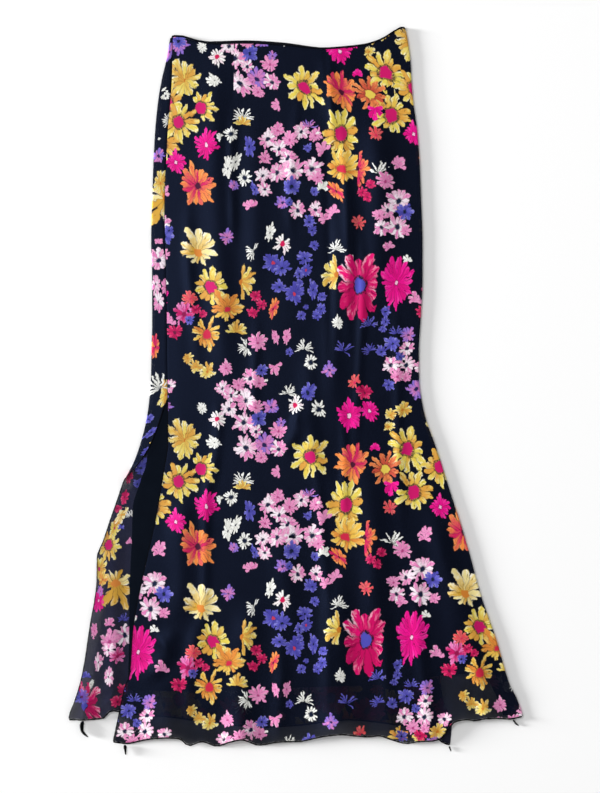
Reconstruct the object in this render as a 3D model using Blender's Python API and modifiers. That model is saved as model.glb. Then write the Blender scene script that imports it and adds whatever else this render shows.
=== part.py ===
"""A long trumpet-shaped skirt of printed georgette over a plain lining, laid flat on its back.

The waist is at +Y and the hem at -Y, +X is the right of the skirt as it is seen from above, and it
lies on the plane z = 0. Sizes are millimetres. A "drop" is a distance down from the highest point of
the waist, and an x is a distance from the middle of the laid skirt.
"""

import math
from collections import namedtuple

import bmesh
import bpy
import numpy as np

MM = 0.001

# Driving sizes
LAID_LENGTH = 1092.0  # highest point of the waist to the tip of the longest hem tail
WALL = 1.0  # each layer of cloth
GAP = 0.3  # between layers, and between pieces that a seam joins
SIDE_SEAM_GAP = 0.8  # between the front and the back along their seams
WAIST_GAP = 0.4  # between the waist's edge and the cloth below it, measured down the skirt
ROLL_RADIUS = 1.25  # the overlocked hem roll
BINDING_HEIGHT = 2.6  # the dark edge of the waist
LINING_INSET = 6.0  # the lining's sides inside the outline
WAIST_SEAM = (25.0, 60.0)  # drops between which the lining's sides leave those of the shell
FLAP_LEAST = 5.0  # what is left of the left flap where it has unrolled
LEFT_FLAP_ENDS = (652.0, 700.0)  # drops between which the left side unfolds to lie flat
SLIT_TOP = 555.0  # both side slits start at the knee
LAYERS_BESIDE_HEM = 3.0  # how high the front lies where it has only the back's hem roll below it
TURN_SHRINKS = (990.0, 1030.0)  # drops between which the right side's fold gets smaller, below the lining
TURN_LESS = 0.6  # and by how much
FLAP_UNROLLS = (630.0, 662.0)  # drops between which the left flap gets narrow
BACK_LINING_SHORTER = 4.0  # the lining's back than its front

# Heights of the middle of each layer
LAYER_STEP = WALL + GAP
BACK_LEVEL = WALL / 2
BACK_LINING_LEVEL = BACK_LEVEL + LAYER_STEP
FRONT_LINING_LEVEL = BACK_LINING_LEVEL + LAYER_STEP
FRONT_LEVEL = FRONT_LINING_LEVEL + LAYER_STEP
SIDE_RADIUS = (FRONT_LEVEL - BACK_LEVEL) / 2  # of the soft fold at each side

# How far from an edge below it the front comes down off that edge
OFF_LINING_HEM = (8.0, 40.0)
OFF_BACK_HEM = (8.0, 48.0)
OFF_BACK_SIDE = (6.0, 45.0)

# Where the cloth keeps flat, and where it may lie in folds
RIGHT_SIDE_FLAT = (2.0, 42.0)  # from the right side's turn
LEFT_SEAM_FLAT = 0.06  # share of the front's width, from the left seam
BACK_LOOSE = (6.0, 22.0)  # the back's left edge, outside the lining
HEM_WAVE_REACH = 70.0  # how far up the cloth a wave of the hem runs
HEM_FOLDS_FROM = 1020.0  # a fold that ends below this drop runs out at the hem

Outline = namedtuple("Outline", "drop left right")
OUTLINE = [
    Outline(4, -184, 163.8),
    Outline(9, -185.5, 165.8),
    Outline(13, -187.3, 166.5),
    Outline(19, -189.3, 167.6),
    Outline(35, -192, 170),
    Outline(51, -195, 172),
    Outline(81, -202, 173.5),
    Outline(111, -207, 176),
    Outline(156, -211.5, 182),
    Outline(201, -214, 185.5),
    Outline(261, -216, 188),
    Outline(321, -217.5, 190),
    Outline(381, -216, 190),
    Outline(441, -216, 187),
    Outline(486, -217, 184.5),
    Outline(531, -218, 185),
    Outline(561, -220.5, 189),
    Outline(591, -225, 196),
    Outline(621, -232.5, 207),
    Outline(651, -243, 217),
    Outline(681, -258, 226.5),
    Outline(711, -268.5, 236),
    Outline(741, -279, 246),
    Outline(771, -289, 255),
    Outline(795, -298, 262),
    Outline(831, -298.5, 271.5),
    Outline(861, -302, 280.5),
    Outline(891, -307.5, 291),
    Outline(921, -312, 301.5),
    Outline(951, -316.5, 310),
    Outline(981, -322.5, 319),
    Outline(1011, -331.5, 333),
    Outline(1036, -340, 340.5),
    Outline(1080, -341, 340.5),
]

# The front's left edge: a seam to the back above SLIT_TOP, and the slit's free edge below it
Edge = namedtuple("Edge", "drop x")
FRONT_LEFT = [
    Edge(0, -183.5),
    Edge(25, -184.5),
    Edge(51, -185),
    Edge(81, -186),
    Edge(111, -188),
    Edge(156, -192),
    Edge(220, -195),
    Edge(283, -196.5),
    Edge(351, -195),
    Edge(411, -193.5),
    Edge(486, -193),
    Edge(561, -192),
    Edge(621, -192),
    Edge(666, -198),
    Edge(736, -210),
    Edge(778, -219),
    Edge(831, -231),
    Edge(906, -244.5),
    Edge(970, -249),
    Edge(991, -257),
    Edge(1029, -265),
    Edge(1075, -275),
]

# How far each slit stands open, from the front's edge to the back's
Slit = namedtuple("Slit", "drop opening")
LEFT_SLIT = [
    Slit(0, 0),
    Slit(SLIT_TOP, 0),
    Slit(573, 6),
    Slit(592, 12),
    Slit(616, 21),
    Slit(636, 29),
    Slit(651, 32),
]
RIGHT_SLIT = [
    Slit(0, 0),
    Slit(SLIT_TOP, 0),
    Slit(621, 11),
    Slit(681, 23),
    Slit(741, 36),
    Slit(801, 46),
    Slit(861, 54),
    Slit(921, 65),
    Slit(970, 70),
    Slit(1017, 82),
    Slit(1044, 76),
    Slit(1080, 79),
]

# What the front turns under along its right side
Turned = namedtuple("Turned", "drop width")
RIGHT_TURNED = [Turned(0, 4), Turned(25, 4), Turned(110, 19), Turned(SLIT_TOP, 20), Turned(1040, 30)]

LINING_LEFT = [
    Edge(0, -184),
    Edge(51, -188),
    Edge(111, -200),
    Edge(201, -208),
    Edge(321, -211.5),
    Edge(486, -211),
    Edge(561, -214),
    Edge(621, -221),
    Edge(651, -223.5),
    Edge(684, -234),
    Edge(720, -244.5),
    Edge(771, -246),
    Edge(831, -249),
    Edge(936, -250.5),
    Edge(1000, -252),
]

# The finished edge of the waist, left to right
Waist = namedtuple("Waist", "x drop")
WAIST = [
    Waist(-191, 18),
    Waist(-188, 15),
    Waist(-182, 12.5),
    Waist(-171, 13),
    Waist(-160, 16),
    Waist(-145, 20.5),
    Waist(-126, 23.5),
    Waist(-78, 22.5),
    Waist(-18, 25.5),
    Waist(42, 31),
    Waist(72, 29),
    Waist(102, 25.5),
    Waist(117, 21.5),
    Waist(132, 15),
    Waist(147, 5.5),
    Waist(159, 0),
    Waist(166, 1),
    Waist(172, 3.5),
]

# How far the back's waist stands above the front's, so that its inside shows
Rise = namedtuple("Rise", "x height")
BACK_WAIST_RISE = [
    Rise(-191, 0),
    Rise(-150, 0.6),
    Rise(-118, 2.2),
    Rise(-40, 2.4),
    Rise(10, 1.2),
    Rise(60, 0),
    Rise(172, 0),
]

# The finished hems, left to right, with how high each wave of the hem stands
Hem = namedtuple("Hem", "x drop lift")
FRONT_HEM = [
    Hem(-275, 1073, 0),
    Hem(-253, 1075.5, 0),
    Hem(-232, 1071, 1),
    Hem(-213, 1067.5, 3),
    Hem(-190, 1066, 4),
    Hem(-174, 1067.5, 3),
    Hem(-160, 1078, 0),
    Hem(-141, 1072, 2),
    Hem(-118, 1079, 0),
    Hem(-100, 1073, 2),
    Hem(-81, 1068.5, 4),
    Hem(-55, 1077.5, 0),
    Hem(-25, 1072.5, 1),
    Hem(4, 1072, 1),
    Hem(24, 1068, 2),
    Hem(45, 1063, 4),
    Hem(67, 1060.5, 5),
    Hem(88, 1063, 4),
    Hem(109, 1065, 2),
    Hem(124, 1063, 3),
    Hem(141, 1068, 1),
    Hem(166, 1075, 0),
    Hem(184, 1072, 1),
    Hem(204, 1071, 1),
    Hem(216, 1068, 1),
    Hem(225, 1057.5, 2),
    Hem(234, 1044, 2),
    Hem(246, 1040, 1),
    Hem(256, 1038.5, 2),
    Hem(268, 1041, 0),
    Hem(283, 1037.5, 3),
    Hem(303, 1037.5, 2),
    Hem(319, 1038.5, 1),
    Hem(341, 1034, 0),
]
BACK_HEM = [
    Hem(-341, 1034.5, 0),
    Hem(-334, 1039, 0),
    Hem(-322, 1039.5, 3),
    Hem(-303, 1039, 0),
    Hem(-288, 1037, 0),
    Hem(-281, 1028, 2),
    Hem(-273, 1026, 1),
    Hem(-264, 1028, 0),
    Hem(-235, 1032, 0),
    Hem(-196, 1035, 0),
    Hem(-145, 1042, 0),
    Hem(-93, 1048, 0),
    Hem(-52, 1051, 0),
    Hem(4, 1048, 0),
    Hem(79, 1040, 0),
    Hem(154, 1048, 0),
    Hem(192, 1054, 0),
    Hem(207, 1061, 0),
    Hem(220, 1074, 0),
    Hem(232, 1078, 0),
]
LINING_HEM = [
    Hem(-252, 993, 0),
    Hem(-145, 996, 0),
    Hem(4, 990, 0),
    Hem(154, 984, 0),
    Hem(216, 972, 0),
    Hem(310, 966, 0),
]

# Soft folds that run down the cloth: where each starts and ends, half its width, and its height
Fold = namedtuple("Fold", "x_top drop_top x_end drop_end width height")
FRONT_FOLDS = [
    Fold(-120, 30, -112, 560, 19, 2.2),
    Fold(-60, 120, -76, 420, 17, 1.4),
    Fold(44, 38, 52, 190, 12, 2.0),
    Fold(112, 110, 128, 420, 20, 2.6),
    Fold(76, 200, 60, 620, 17, 1.8),
    Fold(20, 470, 36, 700, 15, 1.8),
    Fold(-22, 645, 14, 572, 10, 1.8),
    Fold(-166, 690, -185, 905, 17, 2.4),
    Fold(-181, 900, -228, 985, 12, 2.4),
    Fold(104, 640, 118, 985, 18, 2.4),
    Fold(58, 800, 67, 1060, 20, 3.0),
    Fold(-70, 860, -81, 1066, 18, 2.6),
    Fold(-190, 960, -192, 1066, 22, 2.4),
    Fold(-20, 700, -14, 960, 18, 1.4),
    Fold(206, 700, 252, 1036, 17, 2.0),
    Fold(246, 800, 284, 1036, 16, 2.6),
]
BACK_FOLDS = [
    Fold(-300, 840, -322, 1040, 13, 3.2),
    Fold(-276, 760, -281, 1028, 12, 2.4),
]

# Rolled corners of the hem that hang past it, as x, drop and radius along each
TailPoint = namedtuple("TailPoint", "x drop radius")
TAILS = {
    "hem_tail_back_left": [
        TailPoint(-319, 1040.1, 3.4),
        TailPoint(-321, 1047, 3.6),
        TailPoint(-320.5, 1054, 3.0),
        TailPoint(-316.5, 1060, 2.2),
        TailPoint(-311.5, 1064, 1.0),
    ],
    "hem_tail_front_left": [
        TailPoint(-256.5, 1075.8, 3.4),
        TailPoint(-256, 1080, 2.8),
        TailPoint(-255.5, 1086, 1.8),
        TailPoint(-255, 1091, 1.0),
    ],
    "hem_tail_back_right": [
        TailPoint(229.6, 1078.1, 1.5),
        TailPoint(231, 1082, 1.3),
        TailPoint(232.5, 1086, 0.8),
    ],
    "hem_tail_front_right": [
        TailPoint(325.6, 1038.7, 1.5),
        TailPoint(329.2, 1043.8, 1.5),
        TailPoint(334, 1047.5, 0.9),
    ],
}

Finish = namedtuple("Finish", "red green blue roughness")
FINISHES = {
    "printed_georgette": Finish(0.012, 0.018, 0.035, 0.85),
    "plain_lining": Finish(0.008, 0.012, 0.025, 0.6),
    "waist_binding": Finish(0.006, 0.007, 0.01, 0.8),
    "overlock_thread": Finish(0.004, 0.004, 0.005, 0.7),
}


def smooth_table(rows, column):
    """A function of the table's first column that passes smoothly through its rows, without overshoot."""
    at = np.array([row[0] for row in rows], float)
    value = np.array([getattr(row, column) for row in rows], float)
    step = np.diff(at)
    slope = np.diff(value) / step
    tangent = np.zeros_like(value)
    same_way = slope[1:] * slope[:-1] > 0
    with np.errstate(divide="ignore", invalid="ignore"):
        harmonic = 2 / (1 / slope[1:] + 1 / slope[:-1])
    tangent[1:-1] = np.where(same_way, harmonic, 0)
    tangent[0], tangent[-1] = slope[0], slope[-1]

    def curve(x):
        x = np.clip(np.asarray(x, float), at[0], at[-1])
        i = np.clip(np.searchsorted(at, x) - 1, 0, len(step) - 1)
        t = (x - at[i]) / step[i]
        start = (1 + 2 * t) * (1 - t) ** 2 * value[i] + t**2 * (3 - 2 * t) * value[i + 1]
        bend = t * (1 - t) ** 2 * tangent[i] - t**2 * (1 - t) * tangent[i + 1]
        return start + step[i] * bend

    return curve


def ease(x, start, end):
    """0 up to start and 1 from end on, with a smooth rise between them. It falls if end is the lower."""
    t = np.clip((x - start) / (end - start), 0, 1)
    return t * t * (3 - 2 * t)


def stations(ends, counts):
    """Shares of a length, with a number of equal steps between each two of its ends."""
    parts = [np.linspace(a, b, n + 1)[:-1] for a, b, n in zip(ends, ends[1:], counts)]
    return np.concatenate([*parts, [ends[-1]]])


outline_left = smooth_table(OUTLINE, "left")
outline_right = smooth_table(OUTLINE, "right")
front_left = smooth_table(FRONT_LEFT, "x")
left_slit = smooth_table(LEFT_SLIT, "opening")
right_slit = smooth_table(RIGHT_SLIT, "opening")
right_turned = smooth_table(RIGHT_TURNED, "width")
lining_left = smooth_table(LINING_LEFT, "x")
waist_edge = smooth_table(WAIST, "drop")
back_rise = smooth_table(BACK_WAIST_RISE, "height")
front_hem = smooth_table(FRONT_HEM, "drop")
front_lift = smooth_table(FRONT_HEM, "lift")
back_hem = smooth_table(BACK_HEM, "drop")
back_lift = smooth_table(BACK_HEM, "lift")
lining_hem = smooth_table(LINING_HEM, "drop")


def back_right(drop):
    """The back's right edge, which meets what the front turns under along the right seam."""
    return outline_right(drop) - right_turned(drop) - SIDE_SEAM_GAP - right_slit(drop)


def cloth_top(x):
    return waist_edge(x) + BINDING_HEIGHT + WAIST_GAP


def back_cloth_top(x):
    return cloth_top(x) - back_rise(x)


def front_turn_x(drop):
    """Where the front starts to turn down at its right side."""
    return outline_right(drop) - WALL / 2 - turn_radius(drop)


def turn_radius(drop):
    """The right side's fold is full over the lining and smaller below it."""
    return SIDE_RADIUS - TURN_LESS * ease(drop, *TURN_SHRINKS)


def left_angle(drop):
    """How far the back has turned at its left side: half a turn down to the slit, then it opens out."""
    return math.pi * (1 - ease(drop, *LEFT_FLAP_ENDS))


def flap_width(drop):
    """The strip of the back that lies over the left side, from its turn to the seam or the slit's edge."""
    free_edge = front_left(drop) - SIDE_SEAM_GAP - left_slit(drop)
    folded = free_edge - outline_left(drop) - WALL / 2 - SIDE_RADIUS
    return folded + (FLAP_LEAST - folded) * ease(drop, *FLAP_UNROLLS)


def back_turn_x(drop):
    """Where the back starts to turn up at its left side."""
    angle = left_angle(drop)
    opened = np.maximum(np.cos(angle), 0)
    arc_out, _, arc_radius = turn_arc(angle)
    reach = np.where(angle > math.pi / 2, arc_radius, arc_out) + flap_width(drop) * opened
    return outline_left(drop) + WALL / 2 * (1 - opened) + reach


def turn_arc(turned_by, whole=None, share=1.0):
    """(out, up, radius) along the left turn, whose arc keeps its length while it opens out flat."""
    whole = turned_by if whole is None else whole
    length = math.pi * SIDE_RADIUS
    radius = length / np.maximum(whole, 1e-3)
    flat = whole < 1e-3
    out = np.where(flat, length * share, radius * np.sin(turned_by))
    up = np.where(flat, 0, radius * (1 - np.cos(turned_by)))
    return out, up, radius


def cloth_end(hem):
    """The line where cloth stops and its hem roll starts."""
    return lambda x: hem(x) - 2 * ROLL_RADIUS - GAP


def fold_height(folds, x, drop):
    """The height of the soft folds at a place: each a ridge that fades at its ends."""
    height = np.zeros(np.broadcast(x, drop).shape)
    for fold in folds:
        run = np.array([fold.x_end - fold.x_top, fold.drop_end - fold.drop_top], float)
        length = math.hypot(*run)
        along = ((x - fold.x_top) * run[0] + (drop - fold.drop_top) * run[1]) / length**2
        aside = ((x - fold.x_top) * run[1] - (drop - fold.drop_top) * run[0]) / length
        reaches_hem = max(fold.drop_end, fold.drop_top) > HEM_FOLDS_FROM
        fade = ease(along, -0.05, 0.3) * (1 if reaches_hem else ease(along, 1.05, 0.7))
        height = height + fold.height * fade * np.exp(-((aside / fold.width) ** 2))
    return height


def hem_wave(lift, hem, x, drop):
    """The height of the hem's waves, which fade out up the cloth."""
    return lift(x) * ease(drop, hem(x) - HEM_WAVE_REACH, hem(x))


def front_support(x, drop):
    """The height of what the front lies on, from the floor."""
    over_lining = 1 - ease(drop - lining_hem(x), *OFF_LINING_HEM)
    over_back = 1 - ease(x - back_right(drop), *OFF_BACK_SIDE)
    over_back = over_back * (1 - ease(drop - back_hem(x), *OFF_BACK_HEM))
    on_lining = FRONT_LEVEL - WALL / 2
    return over_lining * on_lining + (1 - over_lining) * LAYERS_BESIDE_HEM * over_back


def rows_between(shares, top, hem, side_at):
    """x and drop of a panel's points. side_at gives x from the drop, and top and hem the drop from x."""
    drop = shares * LAID_LENGTH
    drop = np.broadcast_to(drop, np.broadcast(drop, side_at(drop)).shape)
    for _ in range(12):
        x = side_at(drop)
        drop = top(x) + shares * (hem(x) - top(x))
    return x, drop


FRONT_COLUMNS, TURN_COLUMNS, FLAP_COLUMNS = 42, 6, 2
FRONT_ROWS = stations((0, 0.55, 0.9, 1), (17, 11, 7))
BACK_COLUMNS = 26
BACK_ROWS = stations((0, 0.57, 0.68, 1), (17, 8, 12))
LINING_ROWS = stations((0, 0.1, 1), (2, 10))


def front_points():
    """The front: a sheet from the left seam to the right side, a half turn down, and a strip turned under."""
    shares = FRONT_ROWS[:, None]
    across = np.linspace(0, 1, FRONT_COLUMNS + 1)[None, :]
    side_at = lambda drop: front_left(drop) + across * (front_turn_x(drop) - front_left(drop))
    x, drop = rows_between(shares, cloth_top, cloth_end(front_hem), side_at)
    sheet_z = front_support(x, drop) + WALL / 2
    edge_z = BACK_LEVEL + 2 * turn_radius(drop)
    near_side = 1 - ease(front_turn_x(drop) - x, *RIGHT_SIDE_FLAT)
    sheet_z = sheet_z + (edge_z - sheet_z) * near_side
    loose = (1 - near_side) * ease(across, 0, LEFT_SEAM_FLAT)
    sheet_z = sheet_z + fold_height(FRONT_FOLDS, x, drop) * loose
    sheet_z = sheet_z + hem_wave(front_lift, front_hem, x, drop) * loose

    side_drop = drop[:, -1:]
    radius = turn_radius(side_drop)
    angle = math.pi * np.linspace(0, 1, TURN_COLUMNS + 1)[None, 1:]
    arc_x = front_turn_x(side_drop) + radius * np.sin(angle)
    arc_z = BACK_LEVEL + radius * (1 + np.cos(angle))
    turned = np.linspace(0, 1, FLAP_COLUMNS + 1)[None, 1:]
    reach = right_turned(side_drop) - WALL / 2 - radius
    flap_x = front_turn_x(side_drop) - turned * reach
    flap_z = np.full_like(flap_x, BACK_LEVEL)
    flap_drop = side_drop + 0 * flap_x
    arc_drop = side_drop + 0 * arc_x
    return (
        np.concatenate([x, arc_x, flap_x], axis=1),
        np.concatenate([drop, arc_drop, flap_drop], axis=1),
        np.concatenate([sheet_z, arc_z, flap_z], axis=1),
    )


def back_points():
    """The back: a strip over the left side to the seam, a turn that opens out below the slit, and the sheet."""
    shares = BACK_ROWS[:, None]
    across = np.linspace(0, 1, BACK_COLUMNS + 1)[None, :]
    side_at = lambda drop: back_turn_x(drop) + across * (back_right(drop) - back_turn_x(drop))
    x, drop = rows_between(shares, back_cloth_top, cloth_end(back_hem), side_at)
    left_only = ease(lining_left(drop) - x, *BACK_LOOSE)
    z = BACK_LEVEL + fold_height(BACK_FOLDS, x, drop) * left_only
    z = z + hem_wave(back_lift, back_hem, x, drop) * left_only

    side_drop = drop[:, :1]
    side_z = z[:, :1]
    angle = left_angle(side_drop)
    turned = np.linspace(1, 0, TURN_COLUMNS + 1)[None, :-1]
    arc = turn_arc(angle * turned, angle, turned)
    arc_x, arc_z = back_turn_x(side_drop) - arc[0], side_z + arc[1]
    edge = turn_arc(angle)
    out = np.linspace(1, 0, FLAP_COLUMNS + 1)[None, :-1] * flap_width(side_drop)
    flap_x = back_turn_x(side_drop) - edge[0] - out * np.cos(angle)
    flap_z = side_z + edge[1] + out * np.sin(angle)
    arc_drop = side_drop + 0 * arc_x
    flap_drop = side_drop + 0 * flap_x
    return (
        np.concatenate([flap_x, arc_x, x], axis=1),
        np.concatenate([flap_drop, arc_drop, drop], axis=1),
        np.concatenate([flap_z, arc_z, z], axis=1),
    )


def lining_points(level, columns, shell_left, shell_right, shell_top, shorter):
    """One of the lining's two panels, flat between the front and the back, its top as wide as its shell's."""
    across = np.linspace(0, 1, columns + 1)[None, :]

    def side_at(drop):
        seam = ease(drop, *WAIST_SEAM[::-1])
        left = seam * shell_left(drop) + (1 - seam) * lining_left(drop)
        right = seam * shell_right(drop) + (1 - seam) * (outline_right(drop) - LINING_INSET)
        return left + across * (right - left)

    end = lambda x: lining_hem(x) - shorter
    x, drop = rows_between(LINING_ROWS[:, None], shell_top, end, side_at)
    return x, drop, np.full_like(x, level)


def binding_points(level, x, shell_top):
    """A narrow strip along the waist's edge, over the top row of its cloth."""
    x = x[None, :] + np.zeros((2, 1))
    drop = shell_top(x) - WAIST_GAP - BINDING_HEIGHT * np.array([[1.0], [0.0]])
    return x, drop, np.full_like(x, level)


def in_metres(x, drop, z):
    return np.stack([x, LAID_LENGTH / 2 - drop, z], axis=-1) * MM


def material_of(name):
    if name in bpy.data.materials:
        return bpy.data.materials[name]
    finish = FINISHES[name]
    material = bpy.data.materials.new(name)
    material.use_nodes = True
    shader = material.node_tree.nodes["Principled BSDF"]
    shader.inputs["Base Color"].default_value = (finish.red, finish.green, finish.blue, 1)
    shader.inputs["Roughness"].default_value = finish.roughness
    shader.inputs["Metallic"].default_value = 0.0
    return material


def add_cloth(name, points, wall, finish, parts):
    """A wall of cloth: a grid laid on the points, which are its middle, and given its thickness."""
    rows, columns = points.shape[0] - 1, points.shape[1] - 1
    grid = bmesh.new()
    bmesh.ops.create_grid(grid, x_segments=columns, y_segments=rows, size=0.5)
    for vert in grid.verts:
        row = round((0.5 - vert.co.y) * rows)
        column = round((vert.co.x + 0.5) * columns)
        vert.co = points[row, column]
    mesh = bpy.data.meshes.new(name)
    grid.to_mesh(mesh)
    grid.free()
    mesh.shade_smooth()
    mesh.materials.append(material_of(finish))
    piece = bpy.data.objects.new(name, mesh)
    parts.objects.link(piece)
    thickness = piece.modifiers.new("wall", "SOLIDIFY")
    thickness.thickness = wall * MM
    thickness.offset = 0.0
    thickness.use_even_offset = True
    thickness.use_quality_normals = True
    return piece


def add_tube(name, points, radius, finish, parts, thick=None):
    """A round roll of thread along the points, with a radius of its own at each point if thick has them."""
    curve = bpy.data.curves.new(name, "CURVE")
    curve.dimensions = "3D"
    curve.bevel_depth = radius * MM
    curve.bevel_resolution = 2
    curve.use_fill_caps = True
    spline = curve.splines.new("POLY")
    spline.points.add(len(points) - 1)
    shares = np.ones(len(points)) if thick is None else np.array(thick) / radius
    for point, place, share in zip(spline.points, points, shares):
        point.co = (*place, 1)
        point.radius = share
    curve.materials.append(material_of(finish))
    piece = bpy.data.objects.new(name, curve)
    parts.objects.link(piece)
    return piece


def hem_roll_points(x, drop, z):
    """The middle of a hem roll, beside the last row of its cloth and resting on what the cloth rests on."""
    run = np.gradient(np.stack([x, drop]), axis=1)
    run = run / np.hypot(*run)
    off = ROLL_RADIUS + GAP
    return in_metres(x - run[1] * off, drop + run[0] * off, z - WALL / 2 + ROLL_RADIUS)


def clear_scene():
    for old in list(bpy.data.objects):
        bpy.data.objects.remove(old)
    parts = bpy.data.collections.new("maxi_skirt")
    bpy.context.scene.collection.children.link(parts)
    return parts


def main():
    parts = clear_scene()
    front, back = front_points(), back_points()
    add_cloth("front_shell", in_metres(*front), WALL, "printed_georgette", parts)
    add_cloth("back_shell", in_metres(*back), WALL, "printed_georgette", parts)
    front_sides = (FRONT_COLUMNS, front_left, front_turn_x, cloth_top)
    back_sides = (BACK_COLUMNS, back_turn_x, back_right, back_cloth_top)
    front_lining = lining_points(FRONT_LINING_LEVEL, *front_sides, 0)
    back_lining = lining_points(BACK_LINING_LEVEL, *back_sides, BACK_LINING_SHORTER)
    add_cloth("front_lining", in_metres(*front_lining), WALL, "plain_lining", parts)
    add_cloth("back_lining", in_metres(*back_lining), WALL, "plain_lining", parts)

    both = 2 * WALL + GAP  # each binding holds one shell and one lining
    front_top = front[0][0, : FRONT_COLUMNS + 1]
    back_top = back[0][0, -BACK_COLUMNS - 1 :]
    front_binding = binding_points(FRONT_LEVEL + WALL / 2 - both / 2, front_top, cloth_top)
    back_binding = binding_points(BACK_LEVEL - WALL / 2 + both / 2, back_top, back_cloth_top)
    add_cloth("waist_binding_front", in_metres(*front_binding), both, "waist_binding", parts)
    add_cloth("waist_binding_back", in_metres(*back_binding), both, "waist_binding", parts)

    roll = hem_roll_points(*(row[-1, : FRONT_COLUMNS + 1] for row in front))
    add_tube("hem_roll_front", roll, ROLL_RADIUS, "overlock_thread", parts)
    roll = hem_roll_points(*(row[-1] for row in back))
    add_tube("hem_roll_back", roll, ROLL_RADIUS, "overlock_thread", parts)
    for name, tail in TAILS.items():
        x, drop, radius = (np.array(column, float) for column in zip(*tail))
        height = np.full_like(x, max(radius))
        places = in_metres(x, drop, height)
        add_tube(name, places, max(radius), "overlock_thread", parts, thick=radius)


main()
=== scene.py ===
import math
from functools import partial

import bpy
import numpy as np
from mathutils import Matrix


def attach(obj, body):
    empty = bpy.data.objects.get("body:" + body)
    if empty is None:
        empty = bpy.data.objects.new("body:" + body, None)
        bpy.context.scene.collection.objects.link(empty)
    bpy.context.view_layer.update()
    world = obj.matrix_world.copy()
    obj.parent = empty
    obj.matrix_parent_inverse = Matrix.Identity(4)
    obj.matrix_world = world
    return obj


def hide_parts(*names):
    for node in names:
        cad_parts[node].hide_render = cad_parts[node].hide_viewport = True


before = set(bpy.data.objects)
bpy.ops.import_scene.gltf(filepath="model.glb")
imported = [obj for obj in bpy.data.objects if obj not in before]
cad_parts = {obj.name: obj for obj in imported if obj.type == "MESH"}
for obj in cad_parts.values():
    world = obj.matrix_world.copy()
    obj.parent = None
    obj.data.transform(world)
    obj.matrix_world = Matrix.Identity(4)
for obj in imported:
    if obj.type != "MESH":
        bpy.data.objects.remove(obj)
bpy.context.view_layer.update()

# A printed georgette maxi skirt over a plain lining, laid flat and seen from straight above.
# Sizes are mm. x runs to the right, and drop runs down the skirt from the highest point of its waist.
mm = 0.001
laid = dict(length=1092.0, wall=1.0, gap=0.3, seamGap=0.8, waistGap=0.4, clothThickness=0.36, liningThickness=0.3,
            turnsToSettle=14)
level = dict(back=0.5, backLining=1.8, frontLining=3.1, front=4.4)  # middle of each layer
sideRadius = (level["front"] - level["back"]) / 2
hemRoll = dict(radius=1.25, wrapPitch=1.7, wrapDepth=0.14, wander=0.25)


# small helpers


def smoothTable(at, value):
    # A cubic between each two rows, whose slope at a row is the harmonic mean of the slopes beside it, or
    # 0 where they differ in sign. So it passes smoothly through the rows and never overshoots them
    at, value = np.array(at, float), np.array(value, float)
    step = np.diff(at)
    slope = np.diff(value) / step
    tangent = np.zeros_like(value)
    with np.errstate(divide="ignore", invalid="ignore"):
        harmonic = 2 / (1 / slope[1:] + 1 / slope[:-1])
    tangent[1:-1] = np.where(slope[1:] * slope[:-1] > 0, harmonic, 0)
    tangent[0], tangent[-1] = slope[0], slope[-1]

    def curve(x):
        x = np.clip(np.asarray(x, float), at[0], at[-1])
        i = np.clip(np.searchsorted(at, x) - 1, 0, len(step) - 1)
        t = (x - at[i]) / step[i]
        start = (1 + 2 * t) * (1 - t) ** 2 * value[i] + t**2 * (3 - 2 * t) * value[i + 1]
        return start + step[i] * (t * (1 - t) ** 2 * tangent[i] - t**2 * (1 - t) * tangent[i + 1])

    return curve


def ease(x, start, end):  # 0 before start, 1 after end, and 3 t squared less 2 t cubed between
    t = np.clip((x - start) / (end - start), 0, 1)
    return t * t * (3 - 2 * t)


def linearColour(hexText):  # "#rrggbb" as sRGB to linear rgba
    srgb = np.array([int(hexText[i : i + 2], 16) for i in (1, 3, 5)]) / 255
    linear = np.where(srgb <= 0.04045, srgb / 12.92, ((srgb + 0.055) / 1.055) ** 2.4)
    return (*linear, 1.0)


def addNode(tree, kind, *inputs, out=0, **settings):
    # One shader node with its settings and links. A tuple such as ("ADD", a, b) is a Math node, both as the
    # kind and as an input, and a c before its operation holds it between 0 and 1
    if isinstance(kind, tuple):
        operation, *inputs = kind
        settings = dict(operation=operation.lstrip("c"), use_clamp=operation[0] == "c")
        kind = "Math"
    made = tree.nodes.new("ShaderNode" + kind)
    for name, value in settings.items():
        setattr(made, name, value)
    for socket, value in zip(made.inputs, inputs):
        if isinstance(value, tuple) and isinstance(value[0], str):
            value = addNode(tree, value)
        if isinstance(value, bpy.types.NodeSocket):
            tree.links.new(value, socket)
        elif value is not None:
            socket.default_value = value
    return made.outputs[out] if out is not None else made


def mixInk(tree, amount, under, over):  # the second colour laid over the first
    return addNode(tree, "Mix", amount, *[None] * 5, under, over, out=2, data_type="RGBA")


def rise(value, start, steepness):  # 0 below start, then a straight climb to 1
    return ("cMULTIPLY", ("SUBTRACT", value, start), steepness)


def noiseScale(size):  # of a noise texture with a lump every size mm
    return 1000 / size


def waveScale(size):  # of a wave texture with a band every size mm: it has 20 radians to a unit
    return 2 * math.pi * 1000 / (20 * size)


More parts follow.
